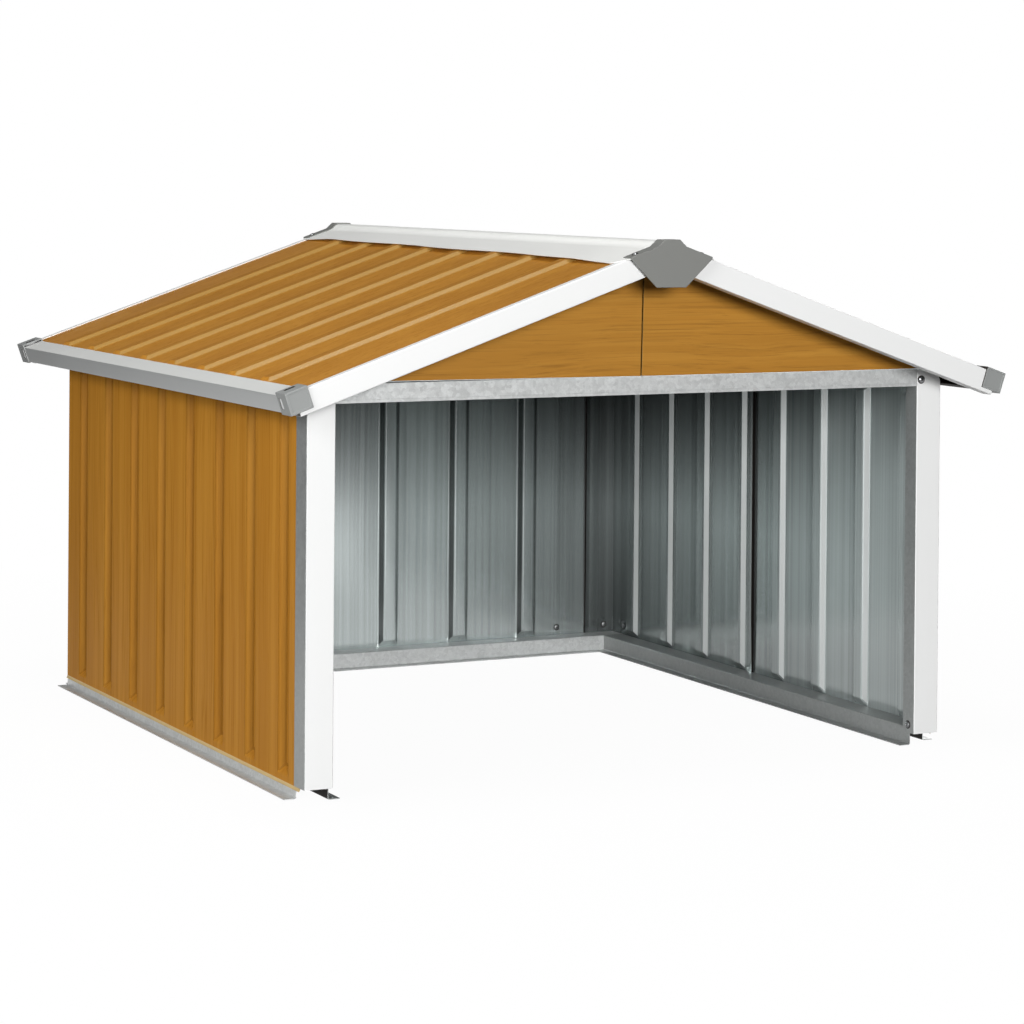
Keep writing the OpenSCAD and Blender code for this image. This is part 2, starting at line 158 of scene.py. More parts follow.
class ShelterRoof(bpy.types.PropertyGroup):
    """Sizes of the roof's trims, ridge and plastic caps."""

    pitch: angle("Pitch", "Slope of the roof", 19.2)
    seat: length(
        "Roof seat", "Height of the roof's underside over the wall top at the posts", 0.0085)
    trim: length("Trim", "Thickness of the folded trims", 0.001)
    bend: length("Trim bend", "Set-back of the trims' rounded folds", 0.0012)
    eave_strip: length("Eave strip", "Width of the eave trim on the roof", 0.026)
    eave_face: length("Eave face", "Height of the eave trim's outer face", 0.021)
    eave_lip: length("Eave lip", "Width of the eave trim's lower lip", 0.014)
    rake_face: length("Rake face", "Height of the rake trim's face", 0.0274)
    rake_lip: length("Rake lip", "Width of the rake trim on the roof", 0.011)
    rake_foot: length("Rake foot", "Width of the rake trim's lower lip", 0.018)
    rake_stop: length("Rake stop", "From the eave to the end of the strip below the cap", 0.012)
    end_half: length("Ridge end width", "Half width of a ridge end between its tips", 0.054)
    ridge_knee: length("Ridge knee", "Half width between the ridge cap's knees", 0.019)
    ridge_flat: length("Ridge flat", "Half width of the ridge cap's top", 0.010)
    ridge_rise: length("Ridge rise", "Height of the ridge cap's top over the roof", 0.0035)
    ridge_metal: length("Ridge metal", "Thickness of the ridge cap", 0.0008)
    ridge_gap: length("Ridge gap", "Gap between a roof sheet and the ridge line", 0.006)
    rib_start: length(
        "Rib start", "From the ridge line down to the roof ribs, under the cap", 0.053)
    cap_lift: length("Cap lift", "How far the ridge cap's edges ride over the roof", 0.0046)
    cap_flare: length("Cap flare", "How much wider the ridge cap is at the front", 0.013)
    wave: length("Ridge wave", "Unevenness of the ridge cap's edges", 0.0028)
    lean: length("Lean", "How far the ridge stands to the right of the middle", 0.003)
    cap_wall: length("Cap wall", "Wall of the plastic caps", 0.0015)
    cap_depth: length("Cap depth", "Depth of the eave caps", 0.027)
    cap_proud: length("Cap proud", "How far an eave cap stands over the trims", 0.0022)
    slot_from: length("Slot from", "From a cap's mouth to its slots", 0.005)
    slot_wide: length("Slot width", "Width of the slots in a cap's top and side", 0.007)
    slot_long: length("Slot length", "Length of the slots in a cap's top and side", 0.013)
    frame: length("Face frame", "Width of the frame round a cap's face", 0.0018)
    end_rim: length("Ridge end rim", "Depth of the ridge end's rim over the cap", 0.020)
    end_foot: length("Ridge end foot", "Half width of the ridge end's lower edge", 0.0195)
    end_height: length("Ridge end height", "Height of a ridge end", 0.0555)


class ShelterScrews(bpy.types.PropertyGroup):
    """Radii and places of the screws."""

    post_head: length("Post screw", "Radius of the posts' screws", 0.004)
    wall_head: length("Wall screw", "Radius of the screws inside the walls", 0.0035)
    ridge_head: length("Ridge screw", "Radius of the ridge ends' screws", 0.003)
    post_side: length("Post side", "From a post's outer side to its upper screw", 0.029)
    post_drop: length("Post drop", "From a post's top down to its upper screw", 0.014)
    leg_depth: length("Leg depth", "From a post's front to the screw in its leg", 0.013)
    leg_rise: length("Leg rise", "From a post's foot up to the screw in its leg", 0.010)
    back_place: length("Back place", "From the middle to a screw in the back wall", 0.329)
    angle_side: length("Angle side", "From a corner angle's outer side to its screw", 0.016)
    back_rise: length("Back rise", "Height of the screws in the back wall and angles", 0.033)
    side_place: length("Side place", "From the middle back to a screw in a side wall", 0.385)
    side_rise: length("Side rise", "Height of a screw in a side wall", 0.034)
    ridge_share: amount("Ridge place", "Place of a ridge end's screw in its half width", 0.82)


class ShelterFinish(bpy.types.PropertyGroup):
    """Colours of the finishes."""

    wood: tint("Wood", "Ground colour of the printed wood", 0.47, 0.203, 0.024)
    wood_dark: tint("Wood grain", "Dark grain of the printed wood", 0.29, 0.112, 0.010)
    wood_light: tint("Wood light", "Light streaks of the printed wood", 0.58, 0.282, 0.042)
    # Mixed into the print: the gable's own paler colour, and on the roof ribs' sides a painted
    # sheen
    pale_print_and_sheen: tint("Pale print and sheen", "Pale print, and a painted sheen on the roof ribs' sides", 0.38, 0.23, 0.062)
    zinc: tint("Zinc", "Bare inner side of the sheets", 0.64, 0.70, 0.695)
    # Side walls' rib sides inside: a lighter zinc without the walls' shade, a painted highlight
    zinc_rib: tint("Zinc ribs", "Inner sides of the pressed ribs", 0.60, 0.625, 0.62)
    galvanised: tint("Galvanised", "Rails and beams", 0.68, 0.695, 0.69)
    leg: tint("Post legs", "Bare legs of the posts", 0.38, 0.395, 0.39)
    # Near-black painted shade in laps, seams, hollows of caps and rails, under trims and round
    # screw heads
    dull: tint("Dull", "Near-black painted shade in folds, laps and hollows", 0.022, 0.018, 0.016)
    white: tint("White", "Painted posts and rake trims", 0.81, 0.815, 0.81)
    pearl: tint("Pearl", "Painted tops of the eave trims", 0.74, 0.75, 0.73)
    # A lighter copy of the eave trims' pearl paint: painted light on the ridge cap
    ridge: tint("Ridge paint", "Painted ridge cap", 0.86, 0.865, 0.84)
    # A darker, half-metal paint on the eave trims' outer faces: painted shade of the face that
    # tilts down
    silver: tint("Silver", "Outer faces of the eave trims", 0.60, 0.615, 0.61)
    plastic: tint("Plastic", "Moulded eave caps", 0.28, 0.29, 0.285)
    end_plastic: tint("Ridge plastic", "Moulded ridge ends", 0.20, 0.203, 0.192)
    steel: tint("Screws", "Plated screws", 0.26, 0.265, 0.27)
    edge: tint("Cut edge", "Bare cut edges of the sheets", 0.60, 0.44, 0.20)


class ShelterStudio(bpy.types.PropertyGroup):
    """Camera, floor and lamps."""

    lens: amount("Lens", "Focal length in millimetres", 105.42)
    drop: amount("Shift", "Upward shift of the frame", -0.3047)
    turn: angle("Turn", "Camera's turn from straight ahead", 26.62)
    tilt: angle("Tilt", "Camera's downward tilt", 0.62)
    roll: angle("Roll", "Camera's roll", 0.46)
    place: FloatVectorProperty(
        name="Camera", description="Place of the camera", default=(-1.7176, -3.5053, 0.7120),
        subtype="TRANSLATION", unit="LENGTH")
    floor: tint("Floor", "Colour of the floor as it lights the shelter", 0.11, 0.11, 0.11)
    glow: amount("Glow", "Share of the near floor's white that needs no lamp", 0.965)
    shade: amount("Shade", "White of the floor under the roof in mirrors", 0.45)
    key: amount("Key", "Power of the front lamp", 222)
    side: amount("Side", "Power of the left lamp", 57)
    top: amount("Top", "Power of the overhead lamp", 42)
    fill: amount("Fill", "Power of the lamp behind the shelter", 60)
    sky: amount("Sky", "Strength of the light from all round", 0.06)


SETTINGS = {
    "shelter_sheets": ShelterSheets,
    "shelter_frame": ShelterFrame,
    "shelter_roof": ShelterRoof,
    "shelter_screws": ShelterScrews,
    "shelter_finish": ShelterFinish,
    "shelter_studio": ShelterStudio,
}


def sheets():
    return bpy.context.scene.shelter_sheets


def folds():
    return bpy.context.scene.shelter_frame


def roof():
    return bpy.context.scene.shelter_roof


def fixings():
    return bpy.context.scene.shelter_screws


def finish():
    return bpy.context.scene.shelter_finish


# Node trees


def wire(tree, socket, value):
    """Links a socket to another one, or sets its value."""
    if isinstance(value, bpy.types.NodeSocket):
        tree.links.new(value, socket)
    else:
        socket.default_value = value


def node(tree, kind, inputs=None, **settings):
    """Adds a node, with its inputs by name or place."""
    made = tree.nodes.new(kind)
    for key, value in settings.items():
        setattr(made, key, value)
    for key, value in (inputs or {}).items():
        wire(tree, made.inputs[key], value)
    return made


def math_node(tree, operation, first, second=0.0):
    return node(tree, "ShaderNodeMath", {0: first, 1: second}, operation=operation).outputs[0]


def stretched(tree, vector, across, along):
    """Coordinates for streaks that run along z: fine across, long along."""
    return node(tree, "ShaderNodeVectorMath", {0: vector, 1: (across, across, along)},
                operation="MULTIPLY").outputs[0]


def dot(tree, vector, way):
    """How far a vector reaches along a way."""
    return node(tree, "ShaderNodeVectorMath", {0: vector, 1: way},
                operation="DOT_PRODUCT").outputs["Value"]


def noise(tree, vector, detail=2.0, rough=0.5):
    return node(tree, "ShaderNodeTexNoise", {
        "Vector": vector, "Scale": 1.0, "Detail": detail, "Roughness": rough}).outputs["Fac"]


def spread(tree, value, start, end, to_start=0.0, to_end=1.0):
    """Maps a range of a value to another range and clamps it."""
    return node(tree, "ShaderNodeMapRange", {
        "Value": value, "From Min": start, "From Max": end,
        "To Min": to_start, "To Max": to_end}).outputs["Result"]


def blend(tree, factor, first, second, how="MIX"):
    mixed = node(tree, "ShaderNodeMix", data_type="RGBA", blend_type=how)
    wire(tree, mixed.inputs["Factor"], factor)
    wire(tree, mixed.inputs["A"], first)
    wire(tree, mixed.inputs["B"], second)
    return mixed.outputs["Result"]


def node_group(name, inputs, outputs):
    """A new shader node group with its sockets; gives the group, its inputs and its outputs."""
    group = bpy.data.node_groups.new(name, "ShaderNodeTree")
    for socket, kind in inputs.items():
        group.interface.new_socket(socket, in_out="INPUT", socket_type=kind)
    for socket, kind in outputs.items():
        group.interface.new_socket(socket, in_out="OUTPUT", socket_type=kind)
    given = group.nodes.new("NodeGroupInput").outputs
    return group, given, group.nodes.new("NodeGroupOutput").inputs


VECTOR, COLOR, FLOAT = "NodeSocketVector", "NodeSocketColor", "NodeSocketFloat"
WHITE, PALE, SPECK = ((level, level, level, 1) for level in (1.0, 0.9, 0.2))


def wood_print_group():
    """Printed wood grain that runs along z."""
    tree, given, out = node_group(
        "Wood print", {"Vector": VECTOR, "Ground": COLOR, "Dark": COLOR, "Light": COLOR},
        {"Color": COLOR, "Roughness": FLOAT, "Height": FLOAT})
    vector = given["Vector"]
    sway = noise(tree, stretched(tree, vector, 5.0, 2.2), 2.0)
    bent = node(tree, "ShaderNodeVectorMath", {
        0: vector, 1: math_node(tree, "MULTIPLY", sway, 0.03)}, operation="ADD").outputs[0]
    boards = spread(tree, noise(tree, stretched(tree, vector, 9.0, 0.35), 2.0), 0.35, 0.68)
    streaks = spread(tree, noise(tree, stretched(tree, bent, 55.0, 0.9), 4.0, 0.6), 0.46, 0.66)
    fibres = spread(tree, noise(tree, stretched(tree, bent, 230.0, 2.6), 3.0, 0.6), 0.52, 0.72)
    pores = spread(tree, noise(tree, stretched(tree, bent, 620.0, 16.0), 2.0), 0.62, 0.76)
    colour = blend(tree, math_node(tree, "MULTIPLY", boards, 0.30), given["Ground"], given["Dark"])
    colour = blend(tree, math_node(tree, "MULTIPLY", streaks, 0.42), colour, given["Light"])
    colour = blend(tree, math_node(tree, "MULTIPLY", fibres, 0.45), colour, given["Dark"])
    colour = blend(tree, math_node(tree, "MULTIPLY", pores, 0.35), colour, given["Dark"])
    wire(tree, out["Color"], colour)
    wire(tree, out["Roughness"], spread(tree, fibres, 0.0, 1.0, 0.48, 0.60))
    wire(tree, out["Height"], math_node(tree, "ADD", fibres, pores))
    return tree


def rolled_streaks_group():
    """Long streaks along z that rolling leaves on bare sheet, with slow dents between them."""
    tree, given, out = node_group(
        "Rolled streaks", {"Vector": VECTOR}, {"Streak": FLOAT, "Dent": FLOAT})
    vector = given["Vector"]
    fine = noise(tree, stretched(tree, vector, 240.0, 0.6), 3.0, 0.6)
    broad = noise(tree, stretched(tree, vector, 95.0, 0.25), 2.0)
    slow = noise(tree, stretched(tree, vector, 11.0, 1.6), 1.0)
    wire(tree, out["Streak"], math_node(tree, "ADD", math_node(tree, "MULTIPLY", fine, 0.45),
                                        math_node(tree, "MULTIPLY", broad, 0.55)))
    wire(tree, out["Dent"], math_node(tree, "ADD", math_node(tree, "MULTIPLY", broad, 0.22), slow))
    return tree


def painted_shade_group():
    """Tone and metal share of bare zinc: painted shade that darkens it towards the back corners and
    the top, a painted tone at the walls' foot, and matt in front.

    Foot is the painted tone at the walls' foot: above one it paints light, below one shade.
    """
    tree, given, out = node_group(
        "Zinc bloom", {"Vector": VECTOR, "Foot": FLOAT}, {"Tone": FLOAT, "Metal": FLOAT})
    place = node(tree, "ShaderNodeSeparateXYZ", {0: given["Vector"]}).outputs
    # Painted shade: the zinc darkens with height and towards the back corners
    inner = math_node(tree, "MINIMUM", place["Y"], math_node(tree, "ABSOLUTE", place["X"]))
    away = math_node(tree, "SUBTRACT", BACK, inner)
    foot = spread(tree, place["Z"], 0.05, 0.21, given["Foot"], 1.12)
    deep = math_node(tree, "MULTIPLY", foot, spread(tree, place["Z"], 0.22, 0.42, 1.04, 0.38))
    height = node(tree, "ShaderNodeMix", {"Factor": spread(tree, away, 0.40, 0.80)},
                  data_type="FLOAT")
    wire(tree, height.inputs["A"], deep)
    wire(tree, height.inputs["B"], spread(tree, place["Z"], 0.06, 0.36, 0.78, 1.08))
    tone = spread(tree, away, 0.0, 2 * BACK, 0.42, 1.40)
    wire(tree, out["Tone"], math_node(tree, "MULTIPLY", tone, height.outputs["Result"]))
    wire(tree, out["Metal"], spread(tree, away, 0.42, 0.78, 0.75, 0.42))
    return tree


def spangle_group():
    """Crystal patches of hot-dip zinc, with fine speckle."""
    tree, given, out = node_group(
        "Zinc spangle", {"Vector": VECTOR, "Scale": FLOAT}, {"Shade": FLOAT, "Speckle": FLOAT})
    cells = node(tree, "ShaderNodeTexVoronoi", {
        "Vector": given["Vector"], "Scale": given["Scale"], "Randomness": 1.0}, feature="F1")
    level = node(tree, "ShaderNodeSeparateColor", {"Color": cells.outputs["Color"]}).outputs["Red"]
    cloud = noise(tree, stretched(tree, given["Vector"], 26.0, 26.0), 3.0)
    speckle = noise(tree, stretched(tree, given["Vector"], 700.0, 700.0), 2.0, 0.7)
    wire(tree, out["Shade"], math_node(tree, "ADD", math_node(tree, "MULTIPLY", level, 0.55),
                                       math_node(tree, "MULTIPLY", cloud, 0.45)))
    wire(tree, out["Speckle"], spread(tree, speckle, 0.35, 0.7))
    return tree


def handling_group():
    """Faint smudges and dust of handling, for painted and moulded surfaces."""
    tree, given, out = node_group("Handling", {"Vector": VECTOR}, {"Smudge": FLOAT, "Grain": FLOAT})
    smudge = noise(tree, stretched(tree, given["Vector"], 14.0, 14.0), 4.0, 0.62)
    grain = noise(tree, stretched(tree, given["Vector"], 1500.0, 1500.0), 1.0)
    wire(tree, out["Smudge"], spread(tree, smudge, 0.38, 0.70))
    wire(tree, out["Grain"], grain)
    return tree


GROUPS = {}


def effect(tree, build, inputs):
    """Places a shared node group, which is built on its first use."""
    if build not in GROUPS:
        GROUPS[build] = build()
    return node(tree, "ShaderNodeGroup", inputs, node_tree=GROUPS[build]).outputs


MATERIALS = {}


def shared(build):
    """Builds a material on the first use of its name; later uses share it."""
    def fetch(name, *values, **named):
        if name not in MATERIALS:
            MATERIALS[name] = build(name, *values, **named)
        return MATERIALS[name]
    return fetch


# Turns that bring the way of a sheet's grain to z
UPRIGHT = (0.0, 0.0, 0.0)
LEVEL = (0.0, math.radians(90), 0.0)


def start_material(name, turn=UPRIGHT, fine=1.0):
    """A new material: its tree, its main shader and turned object coordinates."""
    material = bpy.data.materials.new(name)
    material.use_nodes = True
    tree = material.node_tree
    coordinates = node(tree, "ShaderNodeTexCoord").outputs["Object"]
    turned = node(tree, "ShaderNodeMapping", {
        "Vector": coordinates, "Rotation": turn, "Scale": (fine, fine, fine)})
    return material, tree, tree.nodes["Principled BSDF"], turned.outputs[0]


def bump(tree, shader, height, distance, strength=1.0):
    made = node(tree, "ShaderNodeBump", {
        "Height": height, "Distance": distance, "Strength": strength})
    tree.links.new(made.outputs[0], shader.inputs["Normal"])


def toned(colour, tone=1.0, pale_share=0.0):
    """A colour of the finish as a socket's value: darker or lighter by its tone, and mixed by a
    share towards the pale print, which stands for a painted sheen on the roof ribs' sides.
    """
    paled = Vector(colour).lerp(Vector(finish().pale_print_and_sheen), pale_share)
    return (*[tone * level for level in paled], 1)


@shared
def wood_print(name, turn, fine=1.0, sheen=0.12, gloss=1.0, tone=1.0, deep=1.0, pale_share=0.0):
    """Wood-grain film on steel sheet.

    fine makes the grain smaller, gloss scales its roughness, deep darkens its dark parts, a share
    of pale print pales it, and tone darkens or lightens it all; on rib and fold copies the tone
    paints shade and the pale print a sheen.
    """
    colours = finish()
    material, tree, shader, vector = start_material(name, turn, fine)
    grain = effect(tree, wood_print_group, {
        "Vector": vector, "Ground": toned(colours.wood, tone, pale_share),
        "Dark": toned(colours.wood_dark, tone * deep, pale_share),
        "Light": toned(colours.wood_light, tone, pale_share)})
    tree.links.new(grain["Color"], shader.inputs["Base Color"])
    rough = math_node(tree, "MULTIPLY", grain["Roughness"], gloss)
    tree.links.new(rough, shader.inputs["Roughness"])
    shader.inputs["Specular IOR Level"].default_value = sheen
    bump(tree, shader, grain["Height"], 0.00008, 0.6)
    return material


@shared
def bare_zinc(name, turn, tone=1.0, foot=0.74):
    """Bare inner side of the sheets, with rolled streaks and painted shade.

    A tone below one paints shade over it all and one above one paints light; foot is the painted
    tone at the walls' foot.
    """
    material, tree, shader, vector = start_material(name, turn)
    rolled = effect(tree, rolled_streaks_group, {"Vector": vector})
    zinc_shade = effect(tree, painted_shade_group, {"Vector": vector, "Foot": foot})
    shade = spread(tree, rolled["Streak"], 0.32, 0.68, 0.74, 1.16)
    shade = math_node(tree, "MULTIPLY", shade, zinc_shade["Tone"])
    colour = blend(tree, 1.0, toned(finish().zinc, tone), shade, "MULTIPLY")
    tree.links.new(colour, shader.inputs["Base Color"])
    rough = spread(tree, rolled["Streak"], 0.32, 0.68, 0.13, 0.24)
    tree.links.new(rough, shader.inputs["Roughness"])
    tree.links.new(zinc_shade["Metal"], shader.inputs["Metallic"])
    bump(tree, shader, rolled["Dent"], 0.0012, 0.5)
    return material


@shared
def galvanised(name, colour):
    """Hot-dip zinc of the folded frame."""
    material, tree, shader, vector = start_material(name)
    zinc = effect(tree, spangle_group, {"Vector": vector, "Scale": 260.0})
    shade = spread(tree, zinc["Shade"], 0.2, 0.8, 0.90, 1.08)
    colour = blend(tree, 1.0, toned(colour), shade, "MULTIPLY")
    colour = blend(tree, math_node(tree, "MULTIPLY", zinc["Speckle"], 0.15), colour, SPECK)
    tree.links.new(colour, shader.inputs["Base Color"])
    tree.links.new(spread(tree, zinc["Shade"], 0.2, 0.8, 0.36, 0.44), shader.inputs["Roughness"])
    shader.inputs["Metallic"].default_value = 0.5
    bump(tree, shader, zinc["Speckle"], 0.0001, 0.3)
    return material


def frame_zinc():
    return galvanised("galvanised_steel", finish().galvanised)


def leg_zinc():
    return galvanised("post_zinc", finish().leg)


# Coats: colour of the finish, metal share, roughness, depth of the grain, strength of smudges
COATS = {
    # Painted highlight: the side walls' rib sides inside, lighter than the shaded walls
    "zinc_rib_sides": ("zinc_rib", 0.5, 0.28, 0.00004, 0.06),
    "white_paint": ("white", 0.0, 0.34, 0.00004, 0.06),
    "pearl_paint": ("pearl", 0.15, 0.40, 0.00005, 0.06),
    # Painted light: lighter than the eave trims' pearl
    "ridge_paint": ("ridge", 0.0, 0.40, 0.00005, 0.06),
    # Painted shade on the eave trims' outer faces
    "silver_paint": ("silver", 0.5, 0.30, 0.00005, 0.06),
    "grey_plastic": ("plastic", 0.0, 0.42, 0.00012, 0.2),
    "ridge_plastic": ("end_plastic", 0.0, 0.42, 0.00012, 0.2),
    # Near-black painted shade for hollows, laps and seams
    "dull_zinc": ("dull", 0.0, 0.7, 0.00004, 0.06),
    "screw_steel": ("steel", 0.9, 0.28, 0.00003, 0.06),
    "cut_edge": ("edge", 0.0, 0.4, 0.00003, 0.06),
}


@shared
def coated(name):
    """A coat of the list: paint, zinc or moulded plastic with faint smudges and a fine surface."""
    tinted, metallic, rough, grain, smudged = COATS[name]
    colour = getattr(finish(), tinted)
    material, tree, shader, vector = start_material(name)
    marks = effect(tree, handling_group, {"Vector": vector})
    smudge = math_node(tree, "MULTIPLY", marks["Smudge"], smudged)
    worn = blend(tree, smudge, toned(colour), toned(colour, 0.8))
    tree.links.new(worn, shader.inputs["Base Color"])
    worn_rough = spread(tree, marks["Smudge"], 0.0, 1.0, rough, rough + 0.09)
    tree.links.new(worn_rough, shader.inputs["Roughness"])
    shader.inputs["Metallic"].default_value = metallic
    bump(tree, shader, marks["Grain"], grain, 0.5)
    return material


# Sheet-metal work


def axes(across, run, up, origin=(0, 0, 0)):
    """Matrix that brings a piece's own across, run and up directions into the frame."""
    turned = Matrix((across, run, up)).transposed().to_4x4()
    turned.translation = origin
    return turned


def slope_axes():
    """Right roof slope: x down the slope from the ridge, y to the back, z off the roof."""
    pitch = roof().pitch
    down = Vector((math.cos(pitch), 0, -math.sin(pitch)))
    off = Vector((math.sin(pitch), 0, math.cos(pitch)))
    return axes(down, Y, off, (0, 0, RIDGE_TOP - roof().ridge_rise))


def lay(bm, matrix):
    """Moves a mesh into place, and turns its faces back where the matrix mirrors them."""
    bmesh.ops.transform(bm, matrix=matrix, verts=bm.verts)
    if matrix.determinant() < 0:
        bmesh.ops.reverse_faces(bm, faces=bm.faces)


def verts_of(geometry):
    return [part for part in geometry if isinstance(part, bmesh.types.BMVert)]


def edges_of(geometry):
    return [part for part in geometry if isinstance(part, bmesh.types.BMEdge)]


def faces_of(geometry):
    return [part for part in geometry if isinstance(part, bmesh.types.BMFace)]


def run_section(bm, section, stations):
    """Draws a section of (across, up) points and runs it through the stations along y.

    The right-hand side of the section's way, with up as up, becomes the outer side.
    Gives the rows of vertices, one for each station.
    """
    rows = [[bm.verts.new((across, stations[0], up)) for across, up in section]]
    edges = [bm.edges.new(pair) for pair in zip(rows[0], rows[0][1:])]
    for before, after in zip(stations, stations[1:]):
        made = bmesh.ops.extrude_edge_only(bm, edges=edges)["geom"]
        bmesh.ops.translate(bm, verts=verts_of(made), vec=(0, after - before, 0))
        step = {}
        for vert in rows[-1]:
            step[vert] = next(edge.other_vert(vert) for edge in vert.link_edges
                              if edge.other_vert(vert) in made)
        rows.append([step[vert] for vert in rows[-1]])
        edges = [bm.edges.get(pair) for pair in zip(rows[-1], rows[-1][1:])]
    return rows


# A sheet is folded from the first angle on, and looks sharp from the second one on
FOLDED, SHARP = math.radians(6), math.radians(34)

# Places of a piece's materials: outer and inner side, and the cut edges of sheets
OUTSIDE, INSIDE, EDGE = range(3)
# Further places on the walls' sheets and on the roof's: near-black painted shade, rib flanks and
# folds in painted shade, and the ribs' inner sides, painted lighter on the side walls and darker on
# the back
BLACK_SHADE, RIBS, FOLDS, BEHIND_RIBS = range(3, 7)
RIB_SIDES, RIB_TOPS = range(3, 5)


def bevel(bm, edges, offset, segments):
    """Rounds edges and gives the faces of the roundings."""
    return bmesh.ops.bevel(
        bm, geom=edges, offset=offset, offset_type="OFFSET", segments=segments, profile=0.5,
        affect="EDGES", clamp_overlap=True, material=-1)["faces"]


def round_folds(bm, bend, segments=3, material=None):
    """Rounds each fold of a sheet; the rounded strips may take a material of their own."""
    bm.normal_update()
    creases = [edge for edge in bm.edges if len(edge.link_faces) == 2
               and edge.calc_face_angle() > FOLDED]
    strips = bevel(bm, creases, bend, segments)
    if material is not None:
        for face in strips:
            face.material_index = material


def thicken(bm, metal, inner=None, rim=None, behind_ribs=None):
    """Gives a surface its thickness behind the outer side.

    inner, rim and behind_ribs are the material places of the new faces: behind the surface,
    round its edges, and behind its faces in the ribs' place.
    """
    outer = set(bm.faces)
    behind = set(faces_of(bmesh.ops.solidify(bm, geom=bm.faces[:], thickness=metal)["geom"]))
    for face in bm.faces:
        if face in behind and behind_ribs is not None and face.material_index == RIBS:
            face.material_index = behind_ribs
        elif face in behind and inner is not None:
            face.material_index = inner
        elif face not in behind and face not in outer and rim is not None:
            face.material_index = rim


def cut_window(bm, lowest, highest):
    """Cuts a box-shaped window through the faces that reach into the box."""
    for axis in (X, Y, Z):
        for corner in (lowest, highest):
            near = [face for face in bm.faces if all(
                min(v.co[i] for v in face.verts) < highest[i] - 1e-6
                and max(v.co[i] for v in face.verts) > lowest[i] + 1e-6 for i in range(3))]
            parts = {part for face in near for part in (face, *face.edges, *face.verts)}
            bmesh.ops.bisect_plane(bm, geom=list(parts), plane_co=corner, plane_no=axis, dist=1e-7)
    inside = [face for face in bm.faces if all(
        lowest[i] < face.calc_center_median()[i] < highest[i] for i in range(3))]
    bmesh.ops.delete(bm, geom=inside, context="FACES")


def make_piece(bm, name, materials, slot, *nodes):
    """Turns a finished mesh into a piece of the shelter that stands for its nodes.

    Over the walls it leans with the ridge.
    """
    for vert in bm.verts:
        rise = (vert.co.z - WALL_TOP) / (RIDGE_TOP - WALL_TOP)
        vert.co.x += roof().lean * min(1.0, max(0.0, rise))
    bm.normal_update()
    for face in bm.faces:
        face.smooth = True
    for edge in bm.edges:
        edge.smooth = len(edge.link_faces) == 2 and edge.calc_face_angle() < SHARP
    mesh = bpy.data.meshes.new(name)
    bm.to_mesh(mesh)
    bm.free()
    for material in materials:
        mesh.materials.append(material)
    piece = bpy.data.objects.new(name, mesh)
    bpy.context.scene.collection.objects.link(piece)
    even = piece.modifiers.new("Even shading", "WEIGHTED_NORMAL")
    even.keep_sharp = True
    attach(piece, "root")
    if nodes:
        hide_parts(*nodes)
    return piece


def rib_places(count, half, margin):
    """Middles of ribs spread evenly between the margins."""
    step = 2 * (half - margin) / (count - 1)
    return [margin - half + i * step for i in range(count)]


def press_sheet(bm, edges, reach, ribs, ribbed, rise, ramp, steps=1, lip=True):
    """A pressed sheet: ribs side by side along x, running along y and standing towards +z.

    edges are the sheet's own (x, z) ends beyond its ribs, as two lists; reach and ribbed are
    the ranges along y of the sheet and of its ribs.
    """
    size = sheets()
    base, crest = size.rib_base / 2, size.rib_crest / 2
    flat = [(x + offset, 0.0) for x in ribs for offset in (-base, -crest, crest, base)]
    section = [*edges[0], *flat, *edges[1]]
    first = len(edges[0])
    crests = [first + 4 * i + k for i in range(len(ribs)) for k in (1, 2)]
    full = [ribbed[0] + ramp + (ribbed[1] - ribbed[0] - 2 * ramp) * i / steps
            for i in range(steps + 1)]
    stations = [reach[0], *([reach[0] + size.lip] if lip else []), ribbed[0], *full, ribbed[1],
                reach[1]]
    rows = run_section(bm, section, stations)
    start = stations.index(full[0])
    stop = start + steps
    for row in rows[start:stop + 1]:
        bmesh.ops.translate(bm, verts=[row[i] for i in crests], vec=(0, 0, rise))
    for flat_row, full_row in ((start - 1, start), (stop + 1, stop)):
        for crest_at in crests:
            base_at = crest_at - 1 if (crest_at - first) % 4 == 1 else crest_at + 1
            bmesh.ops.connect_vert_pair(
                bm, verts=[rows[flat_row][base_at], rows[full_row][crest_at]])
    if lip:
        free = [vert for vert in rows[0] if vert.co.z < rise]
        bmesh.ops.translate(bm, verts=free, vec=(0, 0, -size.flare))
        # The lip's faces take the cut edges' pale colour: a pale line along the sheet's foot
        for face in {face for vert in rows[0] for face in vert.link_faces}:
            face.material_index = EDGE


def wall_materials(name):
    """Materials of a wall's sheet, in the order of their places."""
    back = name == "wall_back"
    # The back wall's zinc is a lighter copy, most at its foot: painted light
    inner = (bare_zinc("bare_zinc_back", UPRIGHT, 1.08, foot=1.25) if back
             else bare_zinc("bare_zinc_wall", UPRIGHT))
    return [wood_print("wood_print_wall", UPRIGHT, sheen=0.05), inner,
            coated("cut_edge"), coated("dull_zinc"),
            # The rib flanks and the rounded folds take darker copies of the print: painted shade
            wood_print("wood_print_wall_rib", UPRIGHT, sheen=0.05, tone=0.82, pale_share=0.08),
            wood_print("wood_print_wall_fold", UPRIGHT, sheen=0.05, tone=0.7),
            # Rib sides inside: half-tone zinc on the back wall, painted shade; a lighter zinc coat
            # on the side walls, painted highlight
            bare_zinc("bare_zinc_back_rib", UPRIGHT, 0.5) if back else coated("zinc_rib_sides")]


def wall_range():
    """Range of the side walls' sheets and ribs, up the wall."""
    foot = low("wall_back").z
    return (foot, WALL_TOP), (foot + sheets().rib_foot, WALL_TOP - sheets().rib_head)


def side_wall_axes():
    """Right wall: x to the back, y up, z inwards."""
    return axes(Y, Z, -X, (SIDE, 0, 0))


